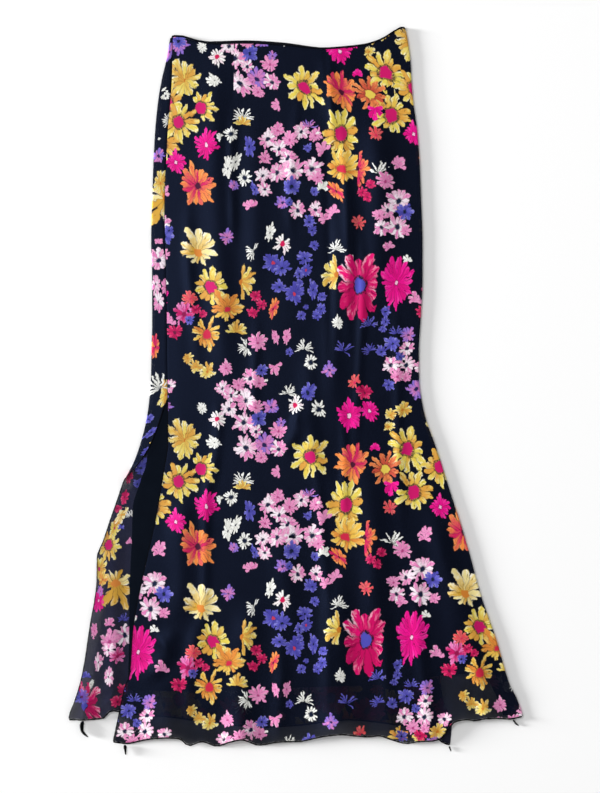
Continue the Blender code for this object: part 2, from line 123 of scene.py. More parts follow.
# the outline of the laid skirt, every few centimetres down it
outline = dict(
    drop=[4, 9, 13, 19, 35, 51, 81, 111, 156, 201, 261, 321, 381, 441, 486, 531, 561, 591, 621, 651, 681, 711,
          741, 771, 795, 831, 861, 891, 921, 951, 981, 1011, 1036, 1080],
    left=[-184, -185.5, -187.3, -189.3, -192, -195, -202, -207, -211.5, -214, -216, -217.5, -216, -216, -217, -218,
          -220.5, -225, -232.5, -243, -258, -268.5, -279, -289, -298, -298.5, -302, -307.5, -312, -316.5,
          -322.5, -331.5, -340, -341],
    right=[163.8, 165.8, 166.5, 167.6, 170, 172, 173.5, 176, 182, 185.5, 188, 190, 190, 187, 184.5, 185, 189, 196,
           207, 217, 226.5, 236, 246, 255, 262, 271.5, 280.5, 291, 301.5, 310, 319, 333, 340.5, 340.5],
)
slits = dict(top=555, unfolds=(652, 700), flapNarrows=(630, 662), flapLeast=5.0)
frontEdge = dict(  # the front's left edge: seam above the slit's top, free below it
    drop=[0, 25, 51, 81, 111, 156, 220, 283, 351, 411, 486, 561, 621, 666, 736, 778, 831, 906, 970, 991, 1029, 1075],
    x=[-183.5, -184.5, -185, -186, -188, -192, -195, -196.5, -195, -193.5, -193, -192, -192, -198, -210,
       -219, -231, -244.5, -249, -257, -265, -275],
)
leftSlit = dict(drop=[0, 555, 573, 592, 616, 636, 651], opening=[0, 0, 6, 12, 21, 29, 32])
rightSlit = dict(drop=[0, 555, 621, 681, 741, 801, 861, 921, 970, 1017, 1044, 1080],
                 opening=[0, 0, 11, 23, 36, 46, 54, 65, 70, 82, 76, 79])
rightTurned = dict(drop=[0, 25, 110, 555, 1040], width=[4, 4, 19, 20, 30])
liningEdge = dict(drop=[0, 51, 111, 201, 321, 486, 561, 621, 651, 684, 720, 771, 831, 936, 1000],
                  x=[-184, -188, -200, -208, -211.5, -211, -214, -221, -223.5, -234, -244.5, -246, -249, -250.5,
                     -252])
waist = dict(x=[-191, -188, -182, -171, -160, -145, -126, -78, -18, 42, 72, 102, 117, 132, 147, 159, 166, 172],
             drop=[18, 15, 12.5, 13, 16, 20.5, 23.5, 22.5, 25.5, 31, 29, 25.5, 21.5, 15, 5.5, 0, 1, 3.5],
             height=2.6)
# how far the back's waist stands above the front's
backRise = dict(x=[-191, -150, -118, -40, 10, 60, 172], height=[0, 0.6, 2.2, 2.4, 1.2, 0, 0])
frontHem = dict(
    x=[-275, -253, -232, -213, -190, -174, -160, -141, -118, -100, -81, -55, -25, 4, 24, 45, 67, 88, 109,
       124, 141, 166, 184, 204, 216, 225, 234, 246, 256, 268, 283, 303, 319, 341],
    drop=[1073, 1075.5, 1071, 1067.5, 1066, 1067.5, 1078, 1072, 1079, 1073, 1068.5, 1077.5, 1072.5, 1072,
          1068, 1063, 1060.5, 1063, 1065, 1063, 1068, 1075, 1072, 1071, 1068, 1057.5, 1044, 1040, 1038.5,
          1041, 1037.5, 1037.5, 1038.5, 1034],
    lift=[0, 0, 1, 3, 4, 3, 0, 2, 0, 2, 4, 0, 1, 1, 2, 4, 5, 4, 2, 3, 1, 0, 1, 1, 1, 2, 2, 1, 2, 0, 3, 2, 1, 0],
)
backHem = dict(
    x=[-341, -334, -322, -303, -288, -281, -273, -264, -235, -196, -145, -93, -52, 4, 79, 154, 192, 207, 220, 232],
    drop=[1034.5, 1039, 1039.5, 1039, 1037, 1028, 1026, 1028, 1032, 1035, 1042, 1048, 1051, 1048, 1040,
          1048, 1054, 1061, 1074, 1078],
    lift=[0, 0, 3, 0, 0, 2, 1, 0, 0, 0, 0, 0, 0, 0, 0, 0, 0, 0, 0, 0],
)
liningHem = dict(x=[-252, -145, 4, 154, 216, 310], drop=[993, 996, 990, 984, 972, 966])

outlineLeft = smoothTable(outline["drop"], outline["left"])
outlineRight = smoothTable(outline["drop"], outline["right"])
frontLeft = smoothTable(frontEdge["drop"], frontEdge["x"])
leftOpening = smoothTable(leftSlit["drop"], leftSlit["opening"])
rightOpening = smoothTable(rightSlit["drop"], rightSlit["opening"])
turnedUnder = smoothTable(rightTurned["drop"], rightTurned["width"])
liningLeft = smoothTable(liningEdge["drop"], liningEdge["x"])
waistEdge = smoothTable(waist["x"], waist["drop"])
backAbove = smoothTable(backRise["x"], backRise["height"])
frontHemEdge = smoothTable(frontHem["x"], frontHem["drop"])
frontHemLift = smoothTable(frontHem["x"], frontHem["lift"])
backHemEdge = smoothTable(backHem["x"], backHem["drop"])
backHemLift = smoothTable(backHem["x"], backHem["lift"])
liningHemEdge = smoothTable(liningHem["x"], liningHem["drop"])


def turnRadius(drop):  # the side's bend, a little tighter at the hem
    return sideRadius - 0.6 * ease(drop, 990, 1030)


def frontTurnX(drop):  # where the front starts to turn down at its right side
    return outlineRight(drop) - laid["wall"] / 2 - turnRadius(drop)


def backRightX(drop):  # the back's right edge, which the slit pulls in below the knee
    return outlineRight(drop) - turnedUnder(drop) - laid["seamGap"] - rightOpening(drop)


def leftAngle(drop):  # half a turn down to the slit, and then the side opens out flat
    return math.pi * (1 - ease(drop, *slits["unfolds"]))


def flapWidth(drop):  # the flat strip past the turn: up to the seam, and narrow where the slit opens out
    freeEdge = frontLeft(drop) - laid["seamGap"] - leftOpening(drop)
    folded = freeEdge - outlineLeft(drop) - laid["wall"] / 2 - sideRadius
    return folded + (slits["flapLeast"] - folded) * ease(drop, *slits["flapNarrows"])


def turnArc(turnedBy, whole=None, share=1.0):
    # (out, up, radius) of a bend: its radius is a fixed arc length over the whole angle, so it keeps its
    # length as it opens out. A point is radius times the sine out and radius times 1 - cosine up
    whole = turnedBy if whole is None else whole
    radius = math.pi * sideRadius / np.maximum(whole, 1e-3)
    flat = whole < 1e-3
    out = np.where(flat, math.pi * sideRadius * share, radius * np.sin(turnedBy))
    return out, np.where(flat, 0, radius * (1 - np.cos(turnedBy))), radius


def backTurnX(drop):  # where the back starts to turn up at its left side
    angle = leftAngle(drop)
    opened = np.maximum(np.cos(angle), 0)
    arcOut, _, arcRadius = turnArc(angle)
    reach = np.where(angle > math.pi / 2, arcRadius, arcOut) + flapWidth(drop) * opened
    return outlineLeft(drop) + laid["wall"] / 2 * (1 - opened) + reach


def clothTop(x):  # the cloth starts just under its binding
    return waistEdge(x) + waist["height"] + laid["waistGap"]


def backClothTop(x):
    return clothTop(x) - backAbove(x)


def clothEnd(hem):  # and stops a roll's width short of the hem
    return lambda x: hem(x) - 2 * hemRoll["radius"]


# Folds and creases, as x and drop where each starts and ends, half its width, its height, and how
# far it wanders sideways. A trough has a height below 0.
frontFolds = [
    (-120, 30, -112, 560, 19, 2.2, 4), (-60, 120, -76, 420, 17, 1.4, 5), (44, 38, 52, 190, 12, 2.0, 2),
    (112, 110, 128, 420, 20, 2.6, 5), (76, 200, 60, 620, 17, 1.8, 6), (20, 470, 36, 700, 15, 1.8, 4),
    (-22, 645, 14, 572, 10, 1.8, 2), (-166, 690, -185, 905, 17, 2.4, 4), (-181, 900, -228, 985, 12, 2.4, 3),
    (104, 640, 118, 985, 18, 2.4, 5), (58, 800, 67, 1060, 20, 3.0, 4), (-70, 860, -81, 1066, 18, 2.6, 4),
    (-190, 960, -192, 1066, 22, 2.4, 4), (-20, 700, -14, 960, 18, 1.4, 6), (206, 700, 252, 1036, 17, 2.0, 4),
    (246, 800, 284, 1036, 16, 2.6, 3),
]
frontCreases = [
    (-92, 120, -98, 330, 6, 1.0, 3), (44, 60, 47, 560, 5, -0.5, 3), (64, 90, 76, 500, 6, 0.9, 4),
    (98, 300, 92, 640, 5, 0.9, 3), (150, 420, 164, 760, 7, 1.1, 4), (4, 100, -6, 330, 7, 0.7, 4),
    (-160, 240, -150, 520, 8, 0.8, 4), (-128, 640, -150, 930, 6, 1.1, 4), (30, 640, 44, 1010, 6, 0.9, 4),
    (-28, 880, -24, 1070, 9, 1.3, 3), (128, 860, 146, 1060, 9, 1.4, 3), (-150, 880, -158, 1068, 8, 1.3, 3),
    (178, 780, 200, 1060, 8, 1.2, 3), (-208, 905, -186, 950, 5, 1.2, 1), (-4, 600, 10, 566, 4, 1.0, 1),
    (-118, 560, -128, 700, 6, 0.8, 3), (66, 560, 78, 760, 5, 0.8, 3), (-60, 420, -52, 640, 7, 0.7, 4),
]
backFolds = [
    (-300, 840, -322, 1040, 13, 3.2, 2), (-276, 760, -281, 1028, 12, 2.4, 2),
]
backCreases = [
    (-285, 800, -300, 1020, 6, 1.0, 2), (-262, 740, -268, 1000, 7, 1.0, 2), (-296, 890, -310, 1010, 5, 0.9, 2),
]


def foldHeight(folds, x, drop):  # each fold is a bell-shaped ridge whose height swells and fades along it
    height = np.zeros(np.broadcast(x, drop).shape)
    for number, (x0, drop0, x1, drop1, width, high, wander) in enumerate(folds):
        length = math.hypot(x1 - x0, drop1 - drop0)
        along = ((x - x0) * (x1 - x0) + (drop - drop0) * (drop1 - drop0)) / length**2
        aside = ((x - x0) * (drop1 - drop0) - (drop - drop0) * (x1 - x0)) / length
        aside = aside + wander * (np.sin(5.1 * along + number) - math.sin(number))
        fade = ease(along, -0.05, 0.3) * (1 if max(drop0, drop1) > 1005 else ease(along, 1.05, 0.7))
        uneven = 1 + 0.22 * np.sin(9.0 * along + 1.7 * number)
        height = height + high * fade * uneven * np.exp(-((aside / width) ** 2))
    return height


def clothRipple(x, drop):  # slow, uneven waves under a millimetre high, a sum of slanted sines
    waves = [(0.041, 0.006, 0.3, 0.16), (0.067, -0.011, 1.1, 0.10), (0.023, 0.017, 2.0, 0.12),
             (0.11, 0.021, 0.7, 0.05)]
    return sum(high * np.sin(a * x + b * drop + c + 0.8 * np.sin(0.013 * drop)) for a, b, c, high in waves)


def rowsBetween(shares, top, hem, sideAt):
    # x and drop of a panel's points: drop is the top edge plus a share of the way to the hem, both read
    # at x, and x follows the panel's sides at that drop, so the two are worked out in turn till they settle
    drop = shares * laid["length"]
    drop = np.broadcast_to(drop, np.broadcast(drop, sideAt(drop)).shape)
    for _ in range(laid["turnsToSettle"]):
        x = sideAt(drop)
        drop = top(x) + shares * (hem(x) - top(x))
    return x, drop


def inMetres(x, drop, z):  # points of the frame, in which Y is half the length less the drop
    return np.stack(np.broadcast_arrays(x, laid["length"] / 2 - drop, z), axis=-1) * mm


# meshes from two-parameter grids


def gridMesh(name, points, aroundClosed=False):
    # A point at each row and column of a grid, and a quad between each two rows and columns. With
    # aroundClosed the last column joins the first
    rows, columns = points.shape[:2]
    index = np.arange(rows * columns).reshape(rows, columns)
    if aroundClosed:
        index = np.concatenate([index, index[:, :1]], axis=1)
    quads = np.stack([index[:-1, :-1], index[1:, :-1], index[1:, 1:], index[:-1, 1:]], axis=-1).reshape(-1, 4)
    mesh = bpy.data.meshes.new(name)
    mesh.vertices.add(rows * columns)
    mesh.vertices.foreach_set("co", points.reshape(-1).astype(np.float32))
    mesh.loops.add(quads.size)
    mesh.loops.foreach_set("vertex_index", quads.reshape(-1).astype(np.int32))
    mesh.polygons.add(len(quads))
    mesh.polygons.foreach_set("loop_start", np.arange(0, quads.size, 4, dtype=np.int32))
    mesh.update(calc_edges=True)
    mesh.validate()
    mesh.shade_smooth()
    piece = bpy.data.objects.new(name, mesh)
    bpy.context.scene.collection.objects.link(piece)
    return piece


def giveThickness(piece, thickness, innerSlot=0):  # a wall half to each side of the grid
    wall = piece.modifiers.new("clothWall", "SOLIDIFY")
    wall.thickness = thickness * mm
    wall.offset = 0
    wall.material_offset = innerSlot
    # large faces set the normals, so that a thin edge doesn't shade the cloth beside it
    faceFirst = piece.modifiers.new("clothShading", "WEIGHTED_NORMAL")
    faceFirst.weight = 100
    return piece


def clothMap(piece, u, v, jumpColumn=(), jump=None):
    # Cloth coordinates in metres at each face's corners: u and v of the grid's own points, and past a dart's
    # column u jumps by what the dart takes in. Returns the middle of each face in mm
    corners = []
    for rowStep, columnStep in ((0, 0), (1, 0), (1, 1), (0, 1)):
        rowPart = slice(rowStep, u.shape[0] - 1 + rowStep)
        columnPart = slice(columnStep, u.shape[1] - 1 + columnStep)
        cornerU = u[rowPart, columnPart].copy()
        for column, taken in zip(jumpColumn, jump or ()):
            cornerU[:, column:] += taken[rowPart]
        corners.append(np.stack([cornerU, v[rowPart, columnPart]], axis=-1))
    corners = np.stack(corners, axis=2) * mm
    layer = piece.data.uv_layers.new(name="cloth")
    layer.data.foreach_set("uv", corners.reshape(-1).astype(np.float32))
    return corners.reshape(-1, 4, 2).mean(axis=1) / mm


def threadRoll(name, path, radius, pitch, depth, sides=8, samples=4, wander=0.0):
    # A roll of wound thread: rings round the path, as wide as radius times 1 - depth + depth times the
    # cosine of the wraps gone by plus the angle round, so the wraps slant, and closed at both ends
    path = np.asarray(path, float)
    gone = np.concatenate([[0], np.cumsum(np.linalg.norm(np.diff(path, axis=0), axis=1))])
    count = max(int(gone[-1] / pitch * samples), 12)
    at = np.linspace(0, gone[-1], count)
    middle = np.stack([np.interp(at, gone, path[:, i]) for i in range(3)], axis=1)
    size = np.interp(at, gone, np.broadcast_to(radius, len(path)))
    run = np.gradient(middle, axis=0)
    run = run / np.linalg.norm(run, axis=1, keepdims=True)
    aside = np.cross(run, [0, 0, 1.0])
    aside = aside / np.linalg.norm(aside, axis=1, keepdims=True)
    up = np.cross(aside, run)
    turn = np.linspace(0, 2 * math.pi, sides, endpoint=False)[None, :]
    wrap = np.cos(2 * math.pi * at[:, None] / pitch + turn + 0.9 * np.sin(at[:, None] * 0.21))
    slack = 1 + wander * 0.3 * (np.sin(at * 0.37) + np.sin(at * 0.83 + 1.0))[:, None]
    ring = size[:, None] * (1 - depth + depth * wrap) * slack
    ring = ring * np.sqrt(np.clip(np.minimum(at, at[-1] - at) / size + 0.02, 0, 1))[:, None]
    outward = np.cos(turn)[..., None] * aside[:, None] + np.sin(turn)[..., None] * up[:, None]
    points = middle[:, None] + ring[..., None] * outward
    return gridMesh(name, points * mm, aroundClosed=True)


def stitchRow(name, path, pitch, length, radius, sides=5):
    # A row of short stitches, one mesh: each a small barrel along the path, which a half sine lifts in its
    # middle and sinks into the cloth at both ends
    path = np.asarray(path, float)
    gone = np.concatenate([[0], np.cumsum(np.linalg.norm(np.diff(path, axis=0), axis=1))])
    starts = np.arange(pitch / 2, gone[-1] - length, pitch)
    share = np.array([0, 0.2, 0.5, 0.8, 1.0])
    at = starts[:, None] + share[None, :] * length
    middle = np.stack([np.interp(at, gone, path[:, i]) for i in range(3)], axis=-1)
    run = middle[:, -1:] - middle[:, :1]
    run = run / np.linalg.norm(run, axis=-1, keepdims=True)
    aside = np.cross(run, [0, 0, 1.0])
    middle[..., 2] += radius * (2.4 * np.sin(math.pi * share) - 1.2)
    turn = np.linspace(0, 2 * math.pi, sides, endpoint=False)
    barrel = np.cos(turn)[:, None] * aside[:, :, None] + np.sin(turn)[:, None] * np.array([0, 0, 1.0])
    size = radius * np.array([0.35, 0.9, 1.0, 0.9, 0.35])
    points = middle[:, :, None] + size[None, :, None, None] * barrel
    count, rings = points.shape[:2]
    index = np.arange(count * rings * sides).reshape(count, rings, sides)
    index = np.concatenate([index, index[..., :1]], axis=-1)
    quads = np.stack([index[:, :-1, :-1], index[:, 1:, :-1], index[:, 1:, 1:], index[:, :-1, 1:]], axis=-1)
    mesh = bpy.data.meshes.new(name)
    mesh.from_pydata((points.reshape(-1, 3) * mm).tolist(), [], quads.reshape(-1, 4).tolist())
    mesh.shade_smooth()
    piece = bpy.data.objects.new(name, mesh)
    bpy.context.scene.collection.objects.link(piece)
    return piece


# the print: daisies of several kinds, painted petal by petal in the material

# Colours of each kind: petal tip, petal base, brush streaks, centre, and how dark the ring round it is
inks = dict(
    gold=("#e6d052", "#dc9f3c", "#fdf9da", "#cb1464", 0.9),
    goldRed=("#eabc48", "#de8a34", "#fbf2b0", "#cc2640", 0.5),
    goldPlain=("#e6ce60", "#d69e3c", "#fdfae2", "#c8781e", 0.0),
    goldWhite=("#f6e49c", "#dca834", "#ffffff", "#e08a30", 0.0),
    white=("#f8f8f2", "#e8e8e0", "#ffffff", "#10182a", 0.9),
    whiteRed=("#f8f5f0", "#f2dfe4", "#ffffff", "#cc144e", 0.0),
    magenta=("#e6046e", "#c40458", "#ffe4f0", "#4d4aae", 1.0),
    hotPink=("#f00c90", "#da087a", "#f45cb2", "#f3c0d8", 0.7),
    rose=("#dc1c60", "#b80c4c", "#f07a98", "#6a1030", 0.6),
    flame=("#f48a3c", "#d2205a", "#fab870", "#4a1226", 0.4),
    coral=("#e4444e", "#d45a5c", "#f8a486", "#cc2450", 0.0),
    orange=("#ea8848", "#c44e34", "#f6b476", "#e2c850", 0.4),
    violet=("#5c58bc", "#4a46a2", "#a3a0e4", "#131a33", 0.7),
    violetRed=("#5854b8", "#4843a2", "#8f8cdc", "#c0364e", 0.3),
    lilac=("#9472ce", "#d27ebc", "#5d54b2", "#241f4c", 0.5),
    pinkWhite=("#e67eb8", "#f8eaf2", "#fde6f0", "#1a2036", 0.8),
    pink=("#e27ab2", "#ea94c2", "#fcd8e8", "#b03c78", 0.3),
    pinkDeep=("#e272b2", "#c41560", "#f4a8cf", "#8c0f45", 0.4),
)
# Petals, their width (1 just touches), centre as a share of the radius, degrees that the petals fill,
# how much shorter the far petals are, and the flower's width over its height
forms = dict(
    ring=(13, 1.0, 0.27, 400, 0.0, 0.88),
    flat=(14, 1.10, 0.17, 400, 0.4, 1.12),
    open=(13, 1.0, 0.06, 400, 0.15, 0.80),
    wheel=(12, 1.30, 0.22, 400, 0.0, 0.68),
    oval=(13, 1.02, 0.27, 400, 0.0, 0.76),
    spiky=(21, 1.5, 0.09, 400, 0.1, 0.64),
    shaggy=(17, 1.22, 0.13, 400, 0.12, 0.82),
    fan=(17, 0.66, 0.0, 225, 0.15, 1.05),
    fanDaisy=(12, 0.94, 0.14, 400, 0.5, 0.92),
    side=(14, 1.06, 0.30, 235, 0.1, 0.95),
    half=(13, 1.0, 0.0, 200, 0.1, 1.05),
    arc=(14, 1.0, 0.12, 205, 0.0, 1.45),
    daisy=(13, 0.86, 0.24, 400, 0.0, 0.90),
    bloom=(12, 1.12, 0.17, 400, 0.1, 0.94),
    small=(11, 1.04, 0.12, 400, 0.2, 1.0),
    star=(9, 0.80, 0.12, 400, 0.3, 0.85),
    tall=(11, 1.1, 0.10, 400, 0.1, 0.48),
    sprig=(8, 1.0, 0.0, 250, 0.3, 0.9),
)
# How a petal is painted. Shares are of the petal or of the flower's radius, and lump is in metres.
brush = dict(
    drawnLonger=1.13, lump=0.0032, lumpShare=0.26, lean=0.46, shorten=-0.36, fullness=1.12, narrowest=0.78,
    narrowing=0.4,
    rootPower=0.55, tipPower=4.0, tipRound=0.6, widthWithAll=1.02, missing=0.3, edge=28.0,
    streaksAcross=2.7, streaksAlong=1.3, dry=(0.3, 14.0), strong=(0.53, 10.0), tip=(0.42, 2.6),
    rimWidth=0.52, rimEdge=30.0, rimStroke=(0.42, 9.0), rimChance=(0.25, 4.0), rimAlong=(1.9, -0.45), light=0.95,
    toneAlong=(1.3, -0.25), toneStroke=2.4, toneChance=1.9, meetPower=6.0, meetShade=-0.5,
    ringReach=1.3, centreEdge=7.0, brokenRing=(0.4, 12.0), outline="#0e1224",
)
# The repeat, charted: for each ink and form, rows of x, drop, radius and turn in degrees
repeat = {
    ("goldWhite", "fanDaisy"): [(-146, 339, 41, 0)],
    ("gold", "ring"): [
        (-127, 390, 32, 20), (22, 644, 35, 0), (176, 697, 34, 10), (-175, 681, 32, 0), (167, 633, 35, 15),
    ],
    ("gold", "side"): [(-142, 663, 27, -65)],
    ("goldRed", "flat"): [(-103, 423, 30, 0), (74, 765, 31, -50)],
    ("goldRed", "daisy"): [(-134, 461, 27, 0)],
    ("goldPlain", "open"): [(-167, 619, 38, 0)],
    ("gold", "oval"): [(75, 717, 40, 5)],
    ("goldPlain", "arc"): [(-82, 382, 21, -90), (61, 371, 22, 90)],
    ("goldPlain", "half"): [(-90, 458, 19, -8), (-80, 692, 13, 0)],
    ("goldPlain", "small"): [
        (-162, 497, 10, 0), (-150, 510, 12, 0), (-133, 517, 15, 0), (142, 582, 11, 0), (160, 574, 15, 0),
        (139, 599, 10, 0),
    ],
    ("white", "fan"): [
        (-64, 337, 16, 75), (60, 335, 16, 0), (-74, 480, 18, 110), (12, 483, 16, 0), (-12, 549, 15, -15),
        (144, 773, 22, -35), (-80, 681, 17, 0),
    ],
    ("white", "open"): [(-122, 623, 14, 60), (63, 444, 12, 0), (-140, 572, 10, 30)],
    ("white", "tall"): [(-39, 309, 16, -15), (-102, 755, 19, 0), (-90, 746, 16, -20)],
    ("white", "sprig"): [(167, 351, 10, 0), (-113, 709, 8, 60), (40, 790, 13, 0), (-45, 531, 4, 0), (34, 714, 4, 0)],
    ("white", "daisy"): [(22, 503, 13, 0), (34, 573, 14, 0), (-97, 705, 13, 0), (-77, 770, 13, 0)],
    ("whiteRed", "daisy"): [(-20, 325, 16, 0), (-1, 567, 14, 0), (-118, 588, 16, 0)],
    ("magenta", "wheel"): [(96, 387, 52, 4)],
    ("hotPink", "spiky"): [(151, 385, 42, 0)],
    ("hotPink", "shaggy"): [(80, 583, 27, 0), (110, 576, 18, 30), (-134, 718, 25, 0), (-180, 742, 20, 0)],
    ("hotPink", "sprig"): [(118, 633, 13, 0), (143, 684, 17, 180)],
    ("rose", "small"): [
        (-182, 458, 14, 0), (103, 548, 14, 20), (-150, 424, 9, 0), (-140, 431, 8, 0), (-60, 404, 10, 0),
        (-52, 417, 9, 0), (-65, 429, 10, 0), (128, 788, 9, 0), (122, 805, 9, 0), (112, 798, 9, 40),
    ],
    ("pinkDeep", "bloom"): [(-168, 431, 19, 0)],
    ("flame", "shaggy"): [(85, 655, 34, 0), (-147, 780, 38, 20)],
    ("flame", "arc"): [(103, 766, 19, -90)],
    ("flame", "tall"): [(65, 795, 21, 40), (-34, 423, 18, -15)],
    ("coral", "small"): [(-158, 408, 13, 0)],
    ("coral", "star"): [(141, 722, 15, 0), (88, 533, 15, 0), (105, 842, 15, 0)],
    ("orange", "daisy"): [(133, 663, 27, 180)],
    ("violetRed", "bloom"): [(-35, 354, 17, 0), (-2, 400, 18, 30), (15, 365, 11, 0)],
    ("violet", "small"): [
        (-21, 362, 16, 0), (13, 347, 13, 0), (5, 371, 9, 40), (-25, 391, 13, 0), (6, 384, 7, 0), (39, 405, 9, 0),
        (38, 423, 9, 10), (31, 433, 9, 0), (8, 433, 9, 0), (27, 328, 9, 0), (24, 305, 10, 0), (134, 427, 10, 0),
        (134, 442, 9, 20), (130, 453, 7, 0), (145, 475, 14, 30), (128, 487, 11, 0), (155, 495, 8, 0),
        (139, 537, 11, 0), (20, 838, 11, 0), (-10, 488, 7, 0), (18, 733, 8, 0), (28, 794, 8, 0), (-52, 515, 11, 0),
        (-10, 808, 8, 0), (-160, 440, 9, 0), (15, 420, 5, 0),
    ],
    ("violet", "tall"): [(26, 394, 18, 0), (-70, 726, 20, 0), (-62, 787, 13, 20)],
    ("violet", "fan"): [(150, 460, 13, 0), (71, 486, 17, -20), (111, 447, 15, 0), (111, 486, 13, 30)],
    ("violet", "bloom"): [(18, 548, 15, 0), (-56, 587, 15, 0), (-7, 786, 16, 0), (205, 828, 15, 0)],
    ("pink", "tall"): [(-31, 465, 13, 12), (-14, 464, 14, -8)],
    ("lilac", "small"): [
        (-103, 315, 13, 0), (168, 462, 13, 0), (50, 515, 14, 40), (-37, 570, 14, 30), (-22, 594, 8, 0),
        (-93, 780, 10, 0), (-20, 808, 13, 40),
    ],
    ("lilac", "bloom"): [(180, 543, 17, 0), (-47, 627, 18, 0)],
    ("lilac", "fan"): [(20, 704, 14, 0)],
    ("pinkWhite", "bloom"): [
        (-75, 560, 18, 0), (-97, 553, 13, 0), (-110, 542, 13, 0), (-68, 527, 15, 0), (-100, 573, 15, 0),
        (-78, 593, 19, 0), (-75, 631, 20, 0), (-60, 607, 12, 0), (-26, 633, 15, 0), (142, 507, 15, 0),
        (165, 507, 15, 0), (166, 482, 14, 0), (187, 511, 13, 0), (-4, 763, 20, 0), (25, 762, 20, 20),
        (-28, 765, 18, 0), (-50, 768, 14, 0), (-12, 745, 15, 0), (-25, 731, 14, 0), (-42, 716, 16, 0),
        (-47, 788, 13, 0), (189, 812, 22, 0), (165, 825, 15, 0), (186, 850, 19, 0), (150, 850, 15, 0),
        (8, 709, 14, 0), (30, 820, 13, 0), (3, 820, 14, 0),
    ],
    ("pink", "small"): [
        (-57, 474, 16, 0), (-105, 512, 13, 0), (-55, 534, 13, 0), (-86, 537, 12, 0), (-27, 705, 13, 0),
        (-10, 720, 14, 0), (-46, 744, 12, 0), (30, 716, 13, 0), (33, 775, 12, 0), (160, 785, 16, 0),
        (152, 524, 13, 0), (165, 526, 9, 0), (-26, 606, 15, 0), (-60, 571, 12, 0), (-52, 646, 12, 0),
        (146, 832, 12, 0), (207, 857, 10, 0),
    ],
    ("pink", "sprig"): [
        (139, 332, 12, 30), (178, 412, 15, 0), (-32, 508, 14, 190), (-26, 667, 12, 100), (43, 738, 16, 40),
        (192, 768, 14, 0), (-205, 781, 13, 0), (-68, 813, 15, 30), (60, 826, 14, 30), (46, 836, 13, 40),
    ],
}
# Where the repeat falls again. It is laid askew and stretched, more the further it is to the right.
lattice = dict(acrossAtWaist=338.0, acrossPerDrop=0.078, climbAtWaist=-48.0, climbPerDrop=0.04, climbLeast=-22.0,
               lowerTop=834.0, lowerShare=0.965, upper=540.0, upperSkew=0.075, skewFrom=-150.0, bend=(0.0002, 0.001),
               bendEases=0.4, waistExtra=(14.0, -13.0), lowerExtra=-10.5)
darts = dict(x=(-93.0, 45.0), ends=(112.0, 190.0), takes=(13.0, 5.0))


def bloomRow(ink, form, x, drop, radius, turn, seed):  # the numbers that the material paints a flower from
    petals, width, centre, span, swing, aspect = forms[form]
    radius = radius * brush["drawnLonger"]  # because chance shortens the petals
    return (
        (x * mm, -drop * mm, radius * mm),
        (math.radians(turn), petals, list(inks).index(ink) + 0.5),
        (width, max(centre, 0.001), seed),
        (math.radians(span), swing, aspect),
    )


def repeatPlace(x, drop, across, down):  # where a flower of the chart falls, some repeats across and down
    bend = lattice["bend"][1 if x > 0 else 0] * x**2
    nearWaist = lowerRight = 0.0
    if down > 0:
        drop = lattice["lowerTop"] + lattice["lowerShare"] * (drop - 300)
        x = x + bend
        lowerRight = lattice["lowerExtra"] * (across > 0)
    if down < 0:
        skew = lattice["upperSkew"] * (x - lattice["skewFrom"]) * (1 - 0.6 * ease(drop, 690, 830))
        drop = drop - lattice["upper"] - skew
        x = x - bend * (1 - lattice["bendEases"] * (1 - ease(drop, 70, 130))) * (x > 0)
        nearWaist = (1 - ease(drop, 60, 260)) * (across > 0)
    climb = min(lattice["climbAtWaist"] + lattice["climbPerDrop"] * drop, lattice["climbLeast"])
    step = lattice["acrossAtWaist"] + lattice["acrossPerDrop"] * drop
    extra = lattice["waistExtra"]
    return x + across * step + extra[0] * nearWaist + lowerRight, drop + across * climb + extra[1] * nearWaist


def repeatedPrint(across, down):  # the whole chart once for each repeat across and down
    rows = []
    for n in across:
        for m in down:
            seed = 0.0
            for (ink, form), places in repeat.items():
                for x, drop, radius, turn in places:
                    seed += 1.37
                    newX, newDrop = repeatPlace(x, drop, n, m)
                    rows.append(bloomRow(ink, form, newX, newDrop, radius, turn, seed % 19))
    return rows


def layPrint(piece, centres, blooms, reach=3.6):
    # Each face keeps the flowers that come within reach of its middle, up to three, the smallest on top
    names = ("place", "form", "parts", "spread")
    start = ((10.0, 10.0, 0.001), (0, 8, 0.5), (0.8, 0.1, 0), (7, 0, 1))
    stacks = [np.tile(np.array(value, np.float32), (3, len(centres), 1)) for value in start]
    order = sorted(blooms, key=lambda bloom: bloom[0][2])[::-1]
    for bloom in order:
        away = np.hypot(centres[:, 0] * mm - bloom[0][0], centres[:, 1] * mm - bloom[0][1])
        near = away < bloom[0][2] * 1.04 + reach * mm
        if not near.any():
            continue
        for stack, value in zip(stacks, bloom):
            stack[1:, near] = stack[:-1, near]
            stack[0, near] = value
    for name, stack in zip(names, stacks):
        for depth in range(3):
            layer = piece.data.attributes.new(f"{name}{depth}", "FLOAT_VECTOR", "FACE")
            layer.data.foreach_set("vector", stack[depth].reshape(-1))


